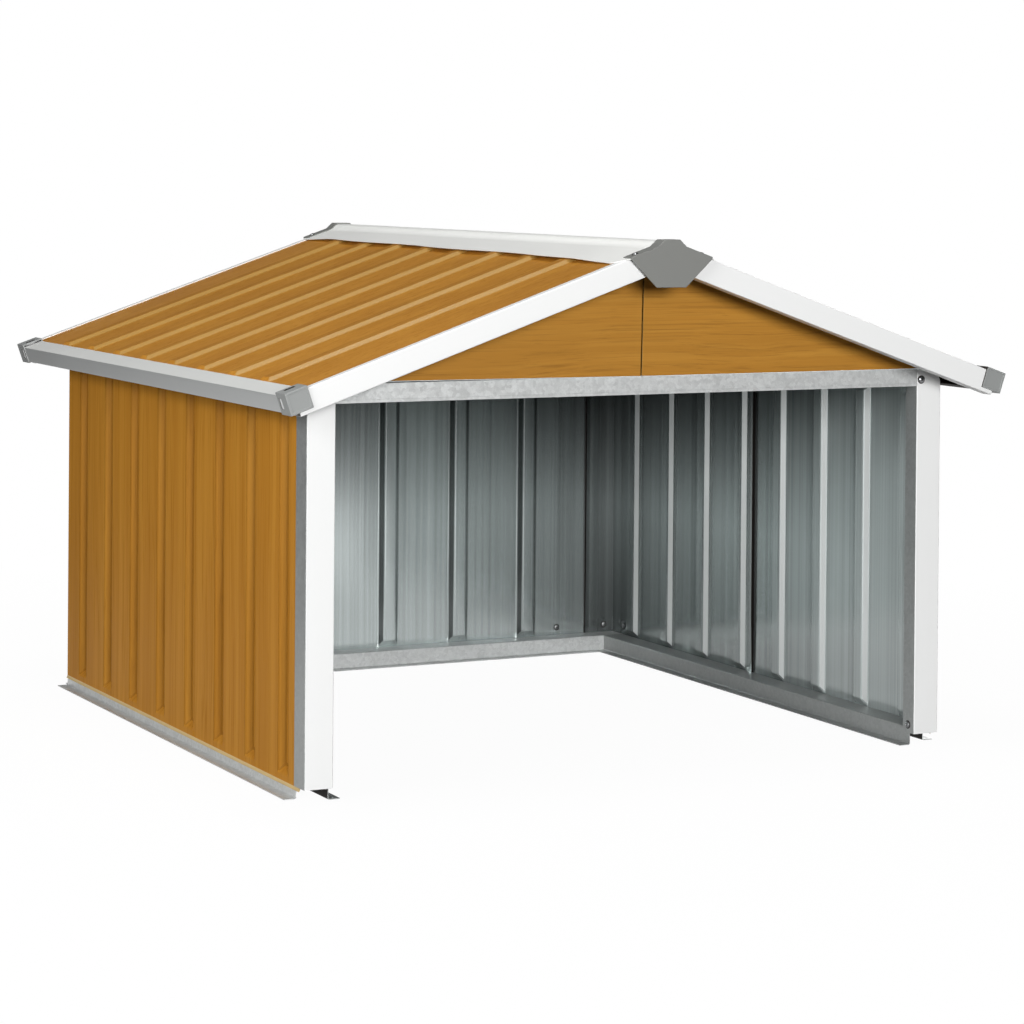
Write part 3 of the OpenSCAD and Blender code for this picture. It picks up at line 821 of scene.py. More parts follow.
class SHELTER_OT_wall_sheets(bpy.types.Operator):
    """Presses the five wall sheets, with their laps and corner returns"""

    bl_idname = "shelter.wall_sheets"
    bl_label = "Wall Sheets"

    def front_sheet(self, side, ribs):
        size = sheets()
        name = f"wall_{side}_front"
        seam = high(name).y
        reach, ribbed = wall_range()
        bm = bmesh.new()
        press_sheet(bm, ([(low(name).y, 0)], [(seam - size.lap, 0), (seam, 0)]), reach, ribs,
                    ribbed, size.wall_rise, size.ramp)
        self.close(bm, SIDES[side] @ side_wall_axes(), name,
                   lapped=lambda middle: middle.y > seam - size.lap)

    def rear_sheet(self, side, ribs):
        """The sheet behind the seam, whose lapped edges bow off their neighbours."""
        size = sheets()
        name = f"wall_{side}_rear"
        seam = high(f"wall_{side}_front").y
        corner = BACK - size.metal
        reach, ribbed = wall_range()
        bm = bmesh.new()
        press_sheet(bm, ([(seam - size.lap, size.metal), (seam, size.metal)],
                         [(corner, 0), (corner, size.corner_return - size.lap / 2),
                          (corner, size.corner_return)]),
                    reach, ribs, ribbed, size.wall_rise, size.ramp, steps=12)
        for vert in bm.verts:
            height = (vert.co.y - reach[0]) / (reach[1] - reach[0])
            bow = size.lap_gap * min(1.0, 0.6 + 2 * height, 0.25 + 5 * (1 - height))
            if vert.co.x < seam - size.lap / 2:
                vert.co.z += bow
            elif vert.co.z > size.corner_return - size.lap / 4:
                vert.co.x -= bow
        # Lapped faces and the return's inner strip take the near-black painted shade of the dark
        # slits
        for face in bm.faces:
            middle = face.calc_center_median()
            if middle.x < seam or middle.z > size.corner_return - size.lap:
                face.material_index = BLACK_SHADE
        self.close(bm, SIDES[side] @ side_wall_axes(), name)

    def back_sheet(self):
        size = sheets()
        name = "wall_back"
        reach, ribbed = wall_range()
        ribs = rib_places(size.back_ribs, high("front_post_right").x, size.back_rib_margin)
        half = high(name).x
        inner = SIDE - size.corner_return
        bm = bmesh.new()
        press_sheet(bm, ([(-half, 0), (-inner, 0)], [(inner, 0), (half, 0)]),
                    (reach[0], high(name).z), ribs, ribbed, size.wall_rise, size.ramp)
        self.close(bm, axes(X, Z, -Y, (0, high(name).y, 0)), name,
                   lapped=lambda middle: abs(middle.x) > inner)

    def close(self, bm, place, name, lapped=lambda middle: False):
        """Finishes a sheet; lapped tells from a face's middle if its inner side lies in a lap."""
        size = sheets()
        foot = low("wall_back").z
        bm.normal_update()
        # Slanted faces, the rib flanks, take the print's darker copy of painted shade
        for face in bm.faces:
            slanted = 0.2 < abs(face.normal.x) < 0.95
            if face.material_index == OUTSIDE and slanted:
                face.material_index = RIBS
        lay(bm, place)
        round_folds(bm, size.bend, material=FOLDS)
        for face in bm.faces:
            rise = face.calc_center_median().z - foot
            if face.material_index == FOLDS and rise < size.lip + size.bend:
                face.material_index = EDGE
            elif face.material_index == FOLDS and rise < size.rib_foot + size.bend:
                face.material_index = OUTSIDE
        thicken(bm, size.metal, inner=INSIDE, rim=EDGE, behind_ribs=BEHIND_RIBS)
        bm.normal_update()
        for face in bm.faces:
            middle = face.calc_center_median()
            upright = abs(face.normal.z) < 0.5
            seam = middle.y > FRONT + size.lap and middle.z > foot + size.lip + size.bend
            # Upright cut edges at the seams and the inner sides in laps take the near-black painted
            # shade
            if face.material_index == EDGE and upright and seam:
                face.material_index = BLACK_SHADE
            elif face.material_index == INSIDE and lapped(middle):
                face.material_index = BLACK_SHADE
        make_piece(bm, f"{name}_sheet", wall_materials(name), "wood_print", name)

    def execute(self, context):
        size = sheets()
        ribs = rib_places(size.ribs, -FRONT, size.rib_margin)
        for side, rear in (("left", size.left_rear), ("right", size.right_rear)):
            self.front_sheet(side, ribs[:size.ribs - rear])
            self.rear_sheet(side, ribs[size.ribs - rear:])
        self.back_sheet()
        return {"FINISHED"}


class SHELTER_OT_base_rails(bpy.types.Operator):
    """Folds the hat-section rails on the ground"""

    bl_idname = "shelter.base_rails"
    bl_label = "Base Rails"

    # Place of the darker zinc on a rail's half towards the bay, in its materials
    BAY_SIDE = 2

    def hat(self, inner, outer, height):
        """Hat section from its outer flange over the top to its inner flange."""
        size = folds()
        foot = size.metal
        web_in, web_out = inner + size.rail_flange, outer - size.rail_flange
        return [(outer, foot), (web_out, foot), (web_out, height), (web_in, height),
                (web_in, foot), (inner, foot)]

    def close(self, bm, place, name):
        lay(bm, place)
        round_folds(bm, folds().bend)
        # The rail's inner side takes the near-black painted shade
        thicken(bm, folds().metal, inner=INSIDE)
        make_piece(bm, f"{name}_folded", [frame_zinc(), coated("dull_zinc"), leg_zinc()],
                   "zinc", name)

    def drop(self, bm, rows, step, first, last):
        """Cuts away part of a rail between two stations, by the places in its section."""
        for i in range(first, last):
            near, far = rows[step], rows[step + 1]
            corners = (near[i], near[i + 1], far[i + 1], far[i])
            bmesh.ops.delete(bm, geom=[bm.faces.get(corners)], context="FACES")

    def execute(self, context):
        lowest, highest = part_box("rail_right")
        corner = high("corner_angle_right").y
        for side, mirror in SIDES.items():
            bm = bmesh.new()
            rows = run_section(bm, self.hat(lowest.x, highest.x, highest.z), [
                lowest.y, lowest.y + folds().rail_notch, highest.y, corner])
            self.drop(bm, rows, 0, 0, 2)
            self.drop(bm, rows, 2, 2, 5)
            middle = (lowest.x + highest.x) / 2 + folds().metal
            for face in bm.faces:
                if face.calc_center_median().x < middle:
                    face.material_index = self.BAY_SIDE
            self.close(bm, mirror, f"rail_{side}")
        back_low, back_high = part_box("rail_back")
        clear = lowest.x
        bm = bmesh.new()
        inset = 2 * folds().metal
        rows = run_section(bm, self.hat(back_low.y, back_high.y, back_high.z),
                           [back_low.x + inset, -clear, clear, back_high.x - inset])
        self.drop(bm, rows, 0, 4, 5)
        self.drop(bm, rows, 2, 4, 5)
        self.close(bm, axes(Y, X, Z), "rail_back")
        return {"FINISHED"}


class SHELTER_OT_front_posts(bpy.types.Operator):
    """Folds the two channel posts: white front, bare legs"""

    bl_idname = "shelter.front_posts"
    bl_label = "Front Posts"

    def execute(self, context):
        size = folds()
        lowest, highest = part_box("front_post_right")
        cut = Vector((highest.x, 0, highest.z - size.post_cut_h))
        slant = Vector((size.post_cut_h, 0, size.post_cut_w))
        for side, mirror in SIDES.items():
            name = f"front_post_{side}"
            bm = bmesh.new()
            run_section(bm, [(lowest.x, lowest.y + size.inner_leg), (lowest.x, lowest.y),
                             (highest.x, lowest.y), (highest.x, highest.y)], [lowest.z, highest.z])
            for face in bm.faces:
                face.material_index = OUTSIDE if abs(face.normal.z) > 0.5 else INSIDE
            lay(bm, axes(X, Z, Y))
            bmesh.ops.bisect_plane(bm, geom=[*bm.verts, *bm.edges, *bm.faces], plane_co=cut,
                                   plane_no=slant, clear_outer=True)
            round_folds(bm, size.bend)
            lay(bm, mirror)
            thicken(bm, size.metal, inner=INSIDE)
            make_piece(bm, f"{name}_folded", [coated("white_paint"), leg_zinc()],
                       "white_trim", name)
        return {"FINISHED"}


class SHELTER_OT_wall_frame(bpy.types.Operator):
    """Folds the corner angles, the beams and the rails under the eaves"""

    bl_idname = "shelter.wall_frame"
    bl_label = "Wall Frame"

    def close(self, bm, place, name, material=None):
        lay(bm, place)
        round_folds(bm, folds().bend)
        thicken(bm, folds().metal)
        make_piece(bm, f"{name}_folded", [material or frame_zinc()], "zinc", name)

    def angles(self):
        lowest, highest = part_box("corner_angle_right")
        for side, mirror in SIDES.items():
            bm = bmesh.new()
            run_section(bm, [(highest.x, lowest.y), (highest.x, highest.y), (lowest.x, highest.y)],
                        [lowest.z, highest.z])
            self.close(bm, mirror @ axes(X, Z, Y), f"corner_angle_{side}",
                       bare_zinc("bare_zinc_wall", UPRIGHT))

    def front_beam(self):
        size = folds()
        lowest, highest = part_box("front_beam")
        hem = lowest.z + size.beam_hem
        bm = bmesh.new()
        proud = lowest.y - size.metal / 2
        run_section(bm, [(highest.y, highest.z), (lowest.y, highest.z),
                         (lowest.y, hem + size.metal), (proud, hem), (proud, lowest.z),
                         (highest.y, lowest.z)], [lowest.x, highest.x])
        self.close(bm, axes(Y, X, Z), "front_beam")

    def back_beam(self):
        lowest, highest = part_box("back_beam")
        web = high("corner_angle_right").y
        bm = bmesh.new()
        run_section(bm, [(lowest.y, lowest.z), (web, lowest.z), (web, highest.z),
                         (lowest.y, highest.z)], [lowest.x, highest.x])
        self.close(bm, axes(Y, X, Z), "back_beam")

    def eave_rails(self):
        size = folds()
        lowest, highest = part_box("top_rail_right")
        fall = math.tan(roof().pitch) * size.top_seat
        for side, mirror in SIDES.items():
            bm = bmesh.new()
            run_section(bm, [(highest.x, lowest.z), (highest.x, highest.z - fall),
                             (lowest.x, highest.z)], [lowest.y, highest.y])
            self.close(bm, mirror, f"top_rail_{side}")

    def execute(self, context):
        self.angles()
        self.front_beam()
        self.back_beam()
        self.eave_rails()
        return {"FINISHED"}


class SHELTER_OT_gables(bpy.types.Operator):
    """Folds the gable halves under the roof"""

    bl_idname = "shelter.gables"
    bl_label = "Gables"

    def half(self, end, side):
        size, skin = folds(), sheets()
        name = f"gable_{end}_{side}"
        outer = high("front_post_right").x
        eave = WALL_TOP + roof().seat
        peak = eave + math.tan(roof().pitch) * outer
        foot = WALL_TOP + skin.flare / 4
        lifted = foot + (size.gable_lift if (end, side) == ("front", "left") else 0.0)
        inner = size.gable_gap / 2
        top = peak - math.tan(roof().pitch) * inner
        bm = bmesh.new()
        corners = [(inner, foot), (outer, lifted), (outer, eave), (inner, top)]
        panel = bm.faces.new([bm.verts.new((across, BACK, up)) for across, up in corners][::-1])
        rake = max(panel.edges, key=lambda edge: sum(v.co.z for v in edge.verts))
        flange = bmesh.ops.extrude_edge_only(bm, edges=[rake])["geom"]
        bmesh.ops.translate(bm, verts=verts_of(flange), vec=(0, -size.gable_flange, 0))
        hem = min(panel.edges, key=lambda edge: sum(v.co.z for v in edge.verts))
        made = bmesh.ops.extrude_edge_only(bm, edges=[hem])["geom"]
        bmesh.ops.translate(bm, verts=verts_of(made), vec=(0, skin.flare, -skin.flare / 4))
        bmesh.ops.recalc_face_normals(bm, faces=bm.faces)
        if panel.normal.y < 0:
            bmesh.ops.reverse_faces(bm, faces=bm.faces)
        round_folds(bm, skin.bend)
        thicken(bm, skin.metal, inner=INSIDE, rim=EDGE)
        if side == "right":
            self.lap(bm, foot, top)
        lay(bm, ENDS[end] @ SIDES[side])
        make_piece(bm, f"{name}_sheet", [
            wood_print("wood_print_gable", LEVEL, fine=1.9, tone=0.95, deep=0.62, pale_share=0.18),
            bare_zinc("bare_zinc_wall", UPRIGHT), coated("cut_edge")], "wood_print", name)

    def lap(self, bm, foot, top):
        """Strip behind the open joint."""
        size, skin = folds(), sheets()
        depth = BACK - 3 * skin.metal
        crest = top - math.tan(roof().pitch) * size.gable_lap - skin.bend
        corners = [(-size.gable_lap, foot), (-size.gable_lap, crest), (size.gable_lap, crest),
                   (size.gable_lap, foot)]
        strip = bm.faces.new([bm.verts.new((across, depth, up)) for across, up in corners])
        bmesh.ops.solidify(bm, geom=[strip], thickness=skin.metal)

    def execute(self, context):
        for end in ENDS:
            for side in SIDES:
                self.half(end, side)
        return {"FINISHED"}


def slope_places():
    """Places down the slope: end of the trims, start of the eave strip, start of the caps."""
    size = roof()
    reach = high("eave_trim_right").x
    trim_end = (reach - size.trim * math.sin(size.pitch)) / math.cos(size.pitch)
    strip = trim_end - size.eave_strip
    return trim_end, strip, strip - size.cap_wall


class SHELTER_OT_roof_sheets(bpy.types.Operator):
    """Presses the four roof sheets"""

    bl_idname = "shelter.roof_sheets"
    bl_label = "Roof Sheets"

    def sheet(self, side, end, ends, ribs):
        size, skin = roof(), sheets()
        name = f"roof_{side}_{end}"
        trim_end, strip, cap_start = slope_places()
        ribbed = (size.rib_start, strip)
        reach = (size.ridge_gap, trim_end - 2 * size.trim)
        bm = bmesh.new()
        press_sheet(bm, ([(ends[0], 0)], [(ends[1], 0)]), reach, ribs, ribbed, skin.roof_rise,
                    skin.roof_ramp, lip=False)
        bmesh.ops.reverse_faces(bm, faces=bm.faces)
        lay(bm, axes(Y, X, Z))
        notch = CAP_END - size.cap_depth
        for lowest, highest in ((notch, RAKE), (-RAKE, -notch)):
            cut_window(bm, Vector((cap_start, lowest, -1)), Vector((1, highest, 1)))
        bm.normal_update()
        for face in bm.faces:
            if abs(face.normal.y) > 0.1:
                face.material_index = RIB_SIDES
            elif face.calc_center_median().z > 0.9 * skin.roof_rise:
                face.material_index = RIB_TOPS
        round_folds(bm, skin.bend)
        thicken(bm, skin.metal, inner=INSIDE, rim=EDGE)
        lay(bm, SIDES[side] @ slope_axes())
        make_piece(bm, f"{name}_sheet", [
            wood_print("wood_print_roof", LEVEL, sheen=0.25, gloss=0.8),
            # The roof's underside is zinc at a fifth of its tone: painted shade under the roof
            bare_zinc("bare_zinc_roof", LEVEL, 0.2), coated("cut_edge"),
            # The ribs' sides take the print paled three quarters towards the pale print: a painted
            # sheen
            wood_print("wood_print_rib_side", LEVEL, sheen=0.4, gloss=0.7, tone=0.9, pale_share=0.75),
            # The ribs' crests take a darker copy of the print: painted shade
            wood_print("wood_print_rib_top", LEVEL, sheen=0.25, tone=0.84)], "wood_print", name)

    def execute(self, context):
        skin = sheets()
        ribs = rib_places(skin.ribs, -FRONT, skin.rib_margin)
        split = skin.ribs - skin.roof_rear
        for side in SIDES:
            front, rear = f"roof_{side}_front", f"roof_{side}_rear"
            seam = low(rear).y
            self.sheet(side, "front", (low(front).y, seam), ribs[:split])
            self.sheet(side, "rear", (seam, high(rear).y), ribs[split:])
        return {"FINISHED"}


def ridge_line(half, raise_by=0.0):
    """Right half of the ridge cap's top line, from the top's corner to the tip."""
    size = roof()
    apex = RIDGE_TOP - size.ridge_rise
    lift = (size.trim + size.ridge_metal) / math.cos(size.pitch) + raise_by

    def wing(across):
        return across, apex + lift - math.tan(size.pitch) * across

    return [(size.ridge_flat, RIDGE_TOP + raise_by), wing(size.ridge_knee), wing(half)]


def across_ridge(line):
    """Both halves of a line, from the right tip over the top to the left tip."""
    return [*line[::-1], *[(-across, up) for across, up in line]]


class SHELTER_OT_ridge(bpy.types.Operator):
    """Folds the uneven ridge cap and moulds its two end caps"""

    bl_idname = "shelter.ridge"
    bl_label = "Ridge"

    # Waves of the cap's edges: length, place of a crest, and turn of the right edge's waves
    WAVE_LENGTH, WAVE_CREST, WAVE_TURN = 0.30, 0.27, 0.9
    # Lengths at the ends where the cap narrows to the end caps and comes down on the roof
    NARROWS, CLOSES = 0.020, 0.13
    # Place along the cap, from the back, where it has its plain width
    PLAIN = 0.3
    # Pieces of the cap's length that follow the waves
    STEPS = 96

    def edge(self, along, side):
        """Place of the cap's edge, as (across, over the roof): it rides unevenly on the ribs.

        side is 1 for the right edge and -1 for the left one.
        """
        size = roof()
        reach = high("ridge_cap").y
        forward = (reach - along) / (2 * reach)
        swell = math.cos(math.tau * (along - self.WAVE_CREST) / self.WAVE_LENGTH
                         + self.WAVE_TURN * (side + 1))
        wide = high("ridge_cap").x + size.cap_flare * (forward - self.PLAIN) + size.wave * swell
        drawn = min(1.0, (reach - abs(along)) / self.NARROWS)
        close = min(1.0, (reach - abs(along)) / self.CLOSES)
        close = close * close * (3 - 2 * close)
        lift = close * (size.cap_lift + 0.25 * size.wave * swell)
        return size.end_half + drawn * (wide - size.end_half), lift

    def cap(self):
        size = roof()
        reach = high("ridge_cap").y
        bm = bmesh.new()
        rows = run_section(bm, across_ridge(ridge_line(high("ridge_cap").x)),
                           [-reach + 2 * reach * i / self.STEPS for i in range(self.STEPS + 1)])
        for row in rows:
            for tip, side in ((row[0], 1), (row[-1], -1)):
                across, lift = self.edge(tip.co.y, side)
                tip.co.x = side * across
                tip.co.z = ridge_line(across)[-1][1] + lift
        round_folds(bm, 3.6 * size.bend, segments=5)
        thicken(bm, size.ridge_metal)
        make_piece(bm, "ridge_cap_folded", [coated("ridge_paint")], "white_trim", "ridge_cap")

    def end_cap(self, end):
        size = roof()
        upper = across_ridge(ridge_line(size.end_half, size.cap_wall))
        tip = upper[0][0]
        tip_low = upper[0][1] - size.cap_wall - size.ridge_metal
        foot = RIDGE_TOP + size.cap_wall - size.end_height
        lower = [(-tip, tip_low), (-size.end_foot, foot), (size.end_foot, foot), (tip, tip_low)]
        bm = bmesh.new()
        corners = [bm.verts.new((across, RIDGE_END, up)) for across, up in upper + lower]
        plate = bm.faces.new(corners[::-1])
        bm.normal_update()
        if plate.normal.y < 0:
            bmesh.ops.reverse_faces(bm, faces=[plate])
        inner = faces_of(bmesh.ops.solidify(bm, geom=[plate], thickness=size.cap_wall)["geom"])
        bmesh.ops.inset_region(bm, faces=inner, thickness=size.cap_wall, use_even_offset=True)
        bm.normal_update()
        ring = [face for face in bm.faces if face not in inner and face.normal.y < -0.9
                and min(v.co.z for v in face.verts) > tip_low - size.cap_wall]
        rim = bmesh.ops.extrude_face_region(bm, geom=ring)["geom"]
        bmesh.ops.translate(bm, verts=verts_of(rim), vec=(0, size.cap_wall - size.end_rim, 0))
        bmesh.ops.delete(bm, geom=[face for face in ring if face.is_valid], context="FACES")
        bevel(bm, list(plate.edges), size.cap_wall / 2, 2)
        lay(bm, ENDS[end])
        make_piece(bm, f"ridge_end_{end}_moulded", [coated("ridge_plastic")], "grey_plastic",
                   f"ridge_end_{end}")

    def execute(self, context):
        self.cap()
        for end in ENDS:
            self.end_cap(end)
        return {"FINISHED"}


class SHELTER_OT_roof_trims(bpy.types.Operator):
    """Folds the trims along the eaves and the rakes"""

    bl_idname = "shelter.roof_trims"
    bl_label = "Roof Trims"

    def eave(self, side):
        size = roof()
        name = f"eave_trim_{side}"
        trim_end, strip, _ = slope_places()
        foot = size.trim - size.eave_face
        reach = high(name).y
        bm = bmesh.new()
        covered = reach - size.cap_depth
        rows = run_section(bm, [(trim_end - size.eave_lip, foot), (trim_end, foot),
                                (trim_end, size.trim), (strip, size.trim)],
                           [-reach, -covered, covered, reach])
        # Pearl tops; the outer faces take a darker, half-metal paint, painted shade of the face
        # that tilts down; undersides and inner side take the near-black painted shade
        pearl, white, silver, dull = range(4)
        bm.normal_update()
        for face in bm.faces:
            out, down = face.normal.x > 0.9, face.normal.z < -0.9
            face.material_index = silver if out else dull if down else pearl
        # The ends inside the caps are white: a painted highlight seen through the caps' slots
        for vert in (*rows[0], *rows[-1]):
            for face in vert.link_faces:
                face.material_index = white
        round_folds(bm, size.bend)
        thicken(bm, size.trim, inner=dull)
        lay(bm, SIDES[side] @ slope_axes())
        make_piece(bm, f"{name}_folded", [
            coated("pearl_paint"), coated("white_paint"), coated("silver_paint"),
            coated("dull_zinc")], "white_trim", name)

    def rake(self, end, side):
        size = roof()
        name = f"rake_trim_{end}_{side}"
        trim_end, _, cap_start = slope_places()
        foot = size.trim - size.rake_face
        cap_low = -(size.eave_face - size.trim) - size.cap_wall
        strip_end = trim_end + size.cap_wall - size.rake_stop
        bm = bmesh.new()
        run_section(bm, [(RAKE - size.rake_foot, foot), (RAKE, foot), (RAKE, cap_low),
                         (RAKE, size.trim), (RAKE - size.rake_lip, size.trim)],
                    [-size.rake_face, cap_start])
        below = [edge for edge in bm.edges if all(
            abs(v.co.y - cap_start) < 1e-6 and v.co.z < cap_low + 1e-6 for v in edge.verts)]
        strip = bmesh.ops.extrude_edge_only(bm, edges=below)["geom"]
        bmesh.ops.translate(bm, verts=verts_of(strip), vec=(0, strip_end - cap_start, 0))
        round_folds(bm, size.bend)
        thicken(bm, size.trim)
        lay(bm, slope_axes() @ axes(Y, X, Z))
        cut = bmesh.ops.bisect_plane(bm, geom=[*bm.verts, *bm.edges, *bm.faces], plane_co=(0, 0, 0),
                                     plane_no=-X, clear_outer=True)
        bmesh.ops.holes_fill(bm, edges=edges_of(cut["geom_cut"]))
        lay(bm, ENDS[end] @ SIDES[side])
        make_piece(bm, f"{name}_folded", [coated("white_paint")], "white_trim", name)

    def execute(self, context):
        for side in SIDES:
            self.eave(side)
            for end in ENDS:
                self.rake(end, side)
        return {"FINISHED"}


class SHELTER_OT_eave_caps(bpy.types.Operator):
    """Moulds the four caps on the ends of the eave trims"""

    bl_idname = "shelter.eave_caps"
    bl_label = "Eave Caps"

    def shell(self, lowest, highest):
        """A hollow box, open at its mouth, with a slot in its top and one in its side."""
        size = roof()
        middle = (lowest + highest) / 2
        near, far = lowest.y + size.slot_from, lowest.y + size.slot_from + size.slot_wide
        half = size.slot_long / 2
        bm = bmesh.new()
        bmesh.ops.create_cube(bm, size=1.0)
        bmesh.ops.scale(bm, vec=highest - lowest, verts=bm.verts)
        bmesh.ops.translate(bm, vec=middle, verts=bm.verts)
        mouth = min(bm.faces, key=lambda face: face.calc_center_median().y)
        bmesh.ops.delete(bm, geom=[mouth], context="FACES_ONLY")
        corners = bm.edges[:]
        outside = bm.faces[:]
        # The cap's inner side takes the near-black painted shade
        thicken(bm, size.cap_wall, inner=INSIDE)
        corners = [edge for edge in corners if all(face in outside for face in edge.link_faces)]
        bevel(bm, corners, size.bend / 2, 2)
        for lower, upper in (((middle.x - half, near, 0), (middle.x + half, far, 1)),
                             ((middle.x, near, middle.z - half), (1, far, middle.z + half))):
            cut_window(bm, Vector(lower), Vector(upper))
            # The slots' rims take the near-black painted shade
            rims = [edge for edge in bm.edges if edge.is_boundary]
            for face in bmesh.ops.bridge_loops(bm, edges=rims)["faces"]:
                face.material_index = INSIDE
        bm.normal_update()
        plate = [face for face in bm.faces if face.normal.y > 0.9
                 and face.calc_center_median().y > highest.y - 1e-5]
        bmesh.ops.inset_region(bm, faces=plate, thickness=size.frame, use_even_offset=True)
        bmesh.ops.inset_region(bm, faces=plate, thickness=size.frame / 3, depth=-size.frame / 3)
        # The cap wall's outer faces towards the ridge take the near-black painted shade too
        for face in bm.faces:
            if face.normal.x < -0.9 and face.calc_center_median().x < middle.x:
                face.material_index = INSIDE
        return bm

    def execute(self, context):
        size = roof()
        trim_end, _, cap_start = slope_places()
        foot = size.trim - size.eave_face - size.cap_wall
        lowest = Vector((cap_start, CAP_END - size.cap_depth, foot))
        outer = trim_end + size.cap_wall - math.tan(size.pitch) * size.cap_proud
        highest = Vector((outer, CAP_END, size.trim + size.cap_wall + size.cap_proud))
        for end, end_mirror in ENDS.items():
            for side, mirror in SIDES.items():
                name = f"eave_cap_{end}_{side}"
                bm = self.shell(lowest, highest)
                lay(bm, end_mirror @ mirror @ slope_axes())
                make_piece(bm, f"{name}_moulded", [coated("grey_plastic"), coated("dull_zinc")],
                           "grey_plastic", name)
        return {"FINISHED"}


class SHELTER_OT_screws(bpy.types.Operator):
    """Turns the washer-head screws of the posts, walls, corner angles and ridge ends"""

    bl_idname = "shelter.screws"
    bl_label = "Screws"

    # Half outline of a screw of radius 1, from under the washer to the bottom of the recess
    OUTLINE = ((0, -0.1), (1.3, -0.1), (1.3, 0.12), (1.0, 0.16), (0.94, 0.42), (0.66, 0.58),
               (0.40, 0.62), (0.30, 0.36), (0, 0.36))
    # The washer starts and the recess ends at these shares of the radius
    WASHER, RECESS = 1.02, 0.3

    def places(self):
        """Places, ways and radii of the screws on the right side."""
        size, skin, fixed = roof(), sheets(), fixings()
        post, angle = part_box("front_post_right"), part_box("corner_angle_right")
        tip = ridge_line(fixed.ridge_share * size.end_half, size.cap_wall)[-1]
        off = slope_axes().to_3x3() @ Z
        rim = RIDGE_END - size.end_rim / 2
        return [
            ((post[1].x - fixed.post_side, FRONT, WALL_TOP - fixed.post_drop), -Y,
             fixed.post_head),
            ((post[0].x, FRONT + fixed.leg_depth, post[0].z + fixed.leg_rise), -X,
             fixed.post_head),
            ((fixed.back_place, BACK - skin.metal, fixed.back_rise), -Y, fixed.wall_head),
            ((angle[1].x - fixed.angle_side, angle[1].y - folds().metal, fixed.back_rise), -Y,
             fixed.wall_head),
            ((SIDE - skin.metal, fixed.side_place, fixed.side_rise), -X, fixed.wall_head),
            ((tip[0], rim, tip[1]), off, fixed.ridge_head),
            ((tip[0], -rim, tip[1]), off, fixed.ridge_head),
        ]

    def screw(self, bm, radius):
        """One screw at the origin along z: a washer, a domed head and its recess."""
        verts = [bm.verts.new((radius * across, 0, radius * up)) for across, up in self.OUTLINE]
        edges = [bm.edges.new(pair) for pair in zip(verts, verts[1:])]
        bmesh.ops.spin(bm, geom=verts + edges, cent=(0, 0, 0), axis=Z, angle=math.tau, steps=20,
                       use_merge=True)
        bmesh.ops.remove_doubles(bm, verts=bm.verts, dist=1e-6)
        bmesh.ops.recalc_face_normals(bm, faces=bm.faces)
        for face in bm.faces:
            middle = face.calc_center_median()
            out = math.hypot(middle.x, middle.y) / radius
            # The washer's rim and the recess take the near-black painted shade
            dull = out > self.WASHER or out < self.RECESS
            face.material_index = INSIDE if dull else OUTSIDE

    def execute(self, context):
        joined = bmesh.new()
        scratch = bpy.data.meshes.new("screw")
        for place, way, radius in self.places():
            for mirror in SIDES.values():
                bm = bmesh.new()
                self.screw(bm, radius)
                turned = Vector(way).to_track_quat("Z", "Y").to_matrix().to_4x4()
                lay(bm, mirror @ Matrix.Translation(place) @ turned)
                bm.to_mesh(scratch)
                bm.free()
                joined.from_mesh(scratch)
        bpy.data.meshes.remove(scratch)
        make_piece(joined, "screws", [coated("screw_steel"), coated("dull_zinc")], "zinc")
        return {"FINISHED"}


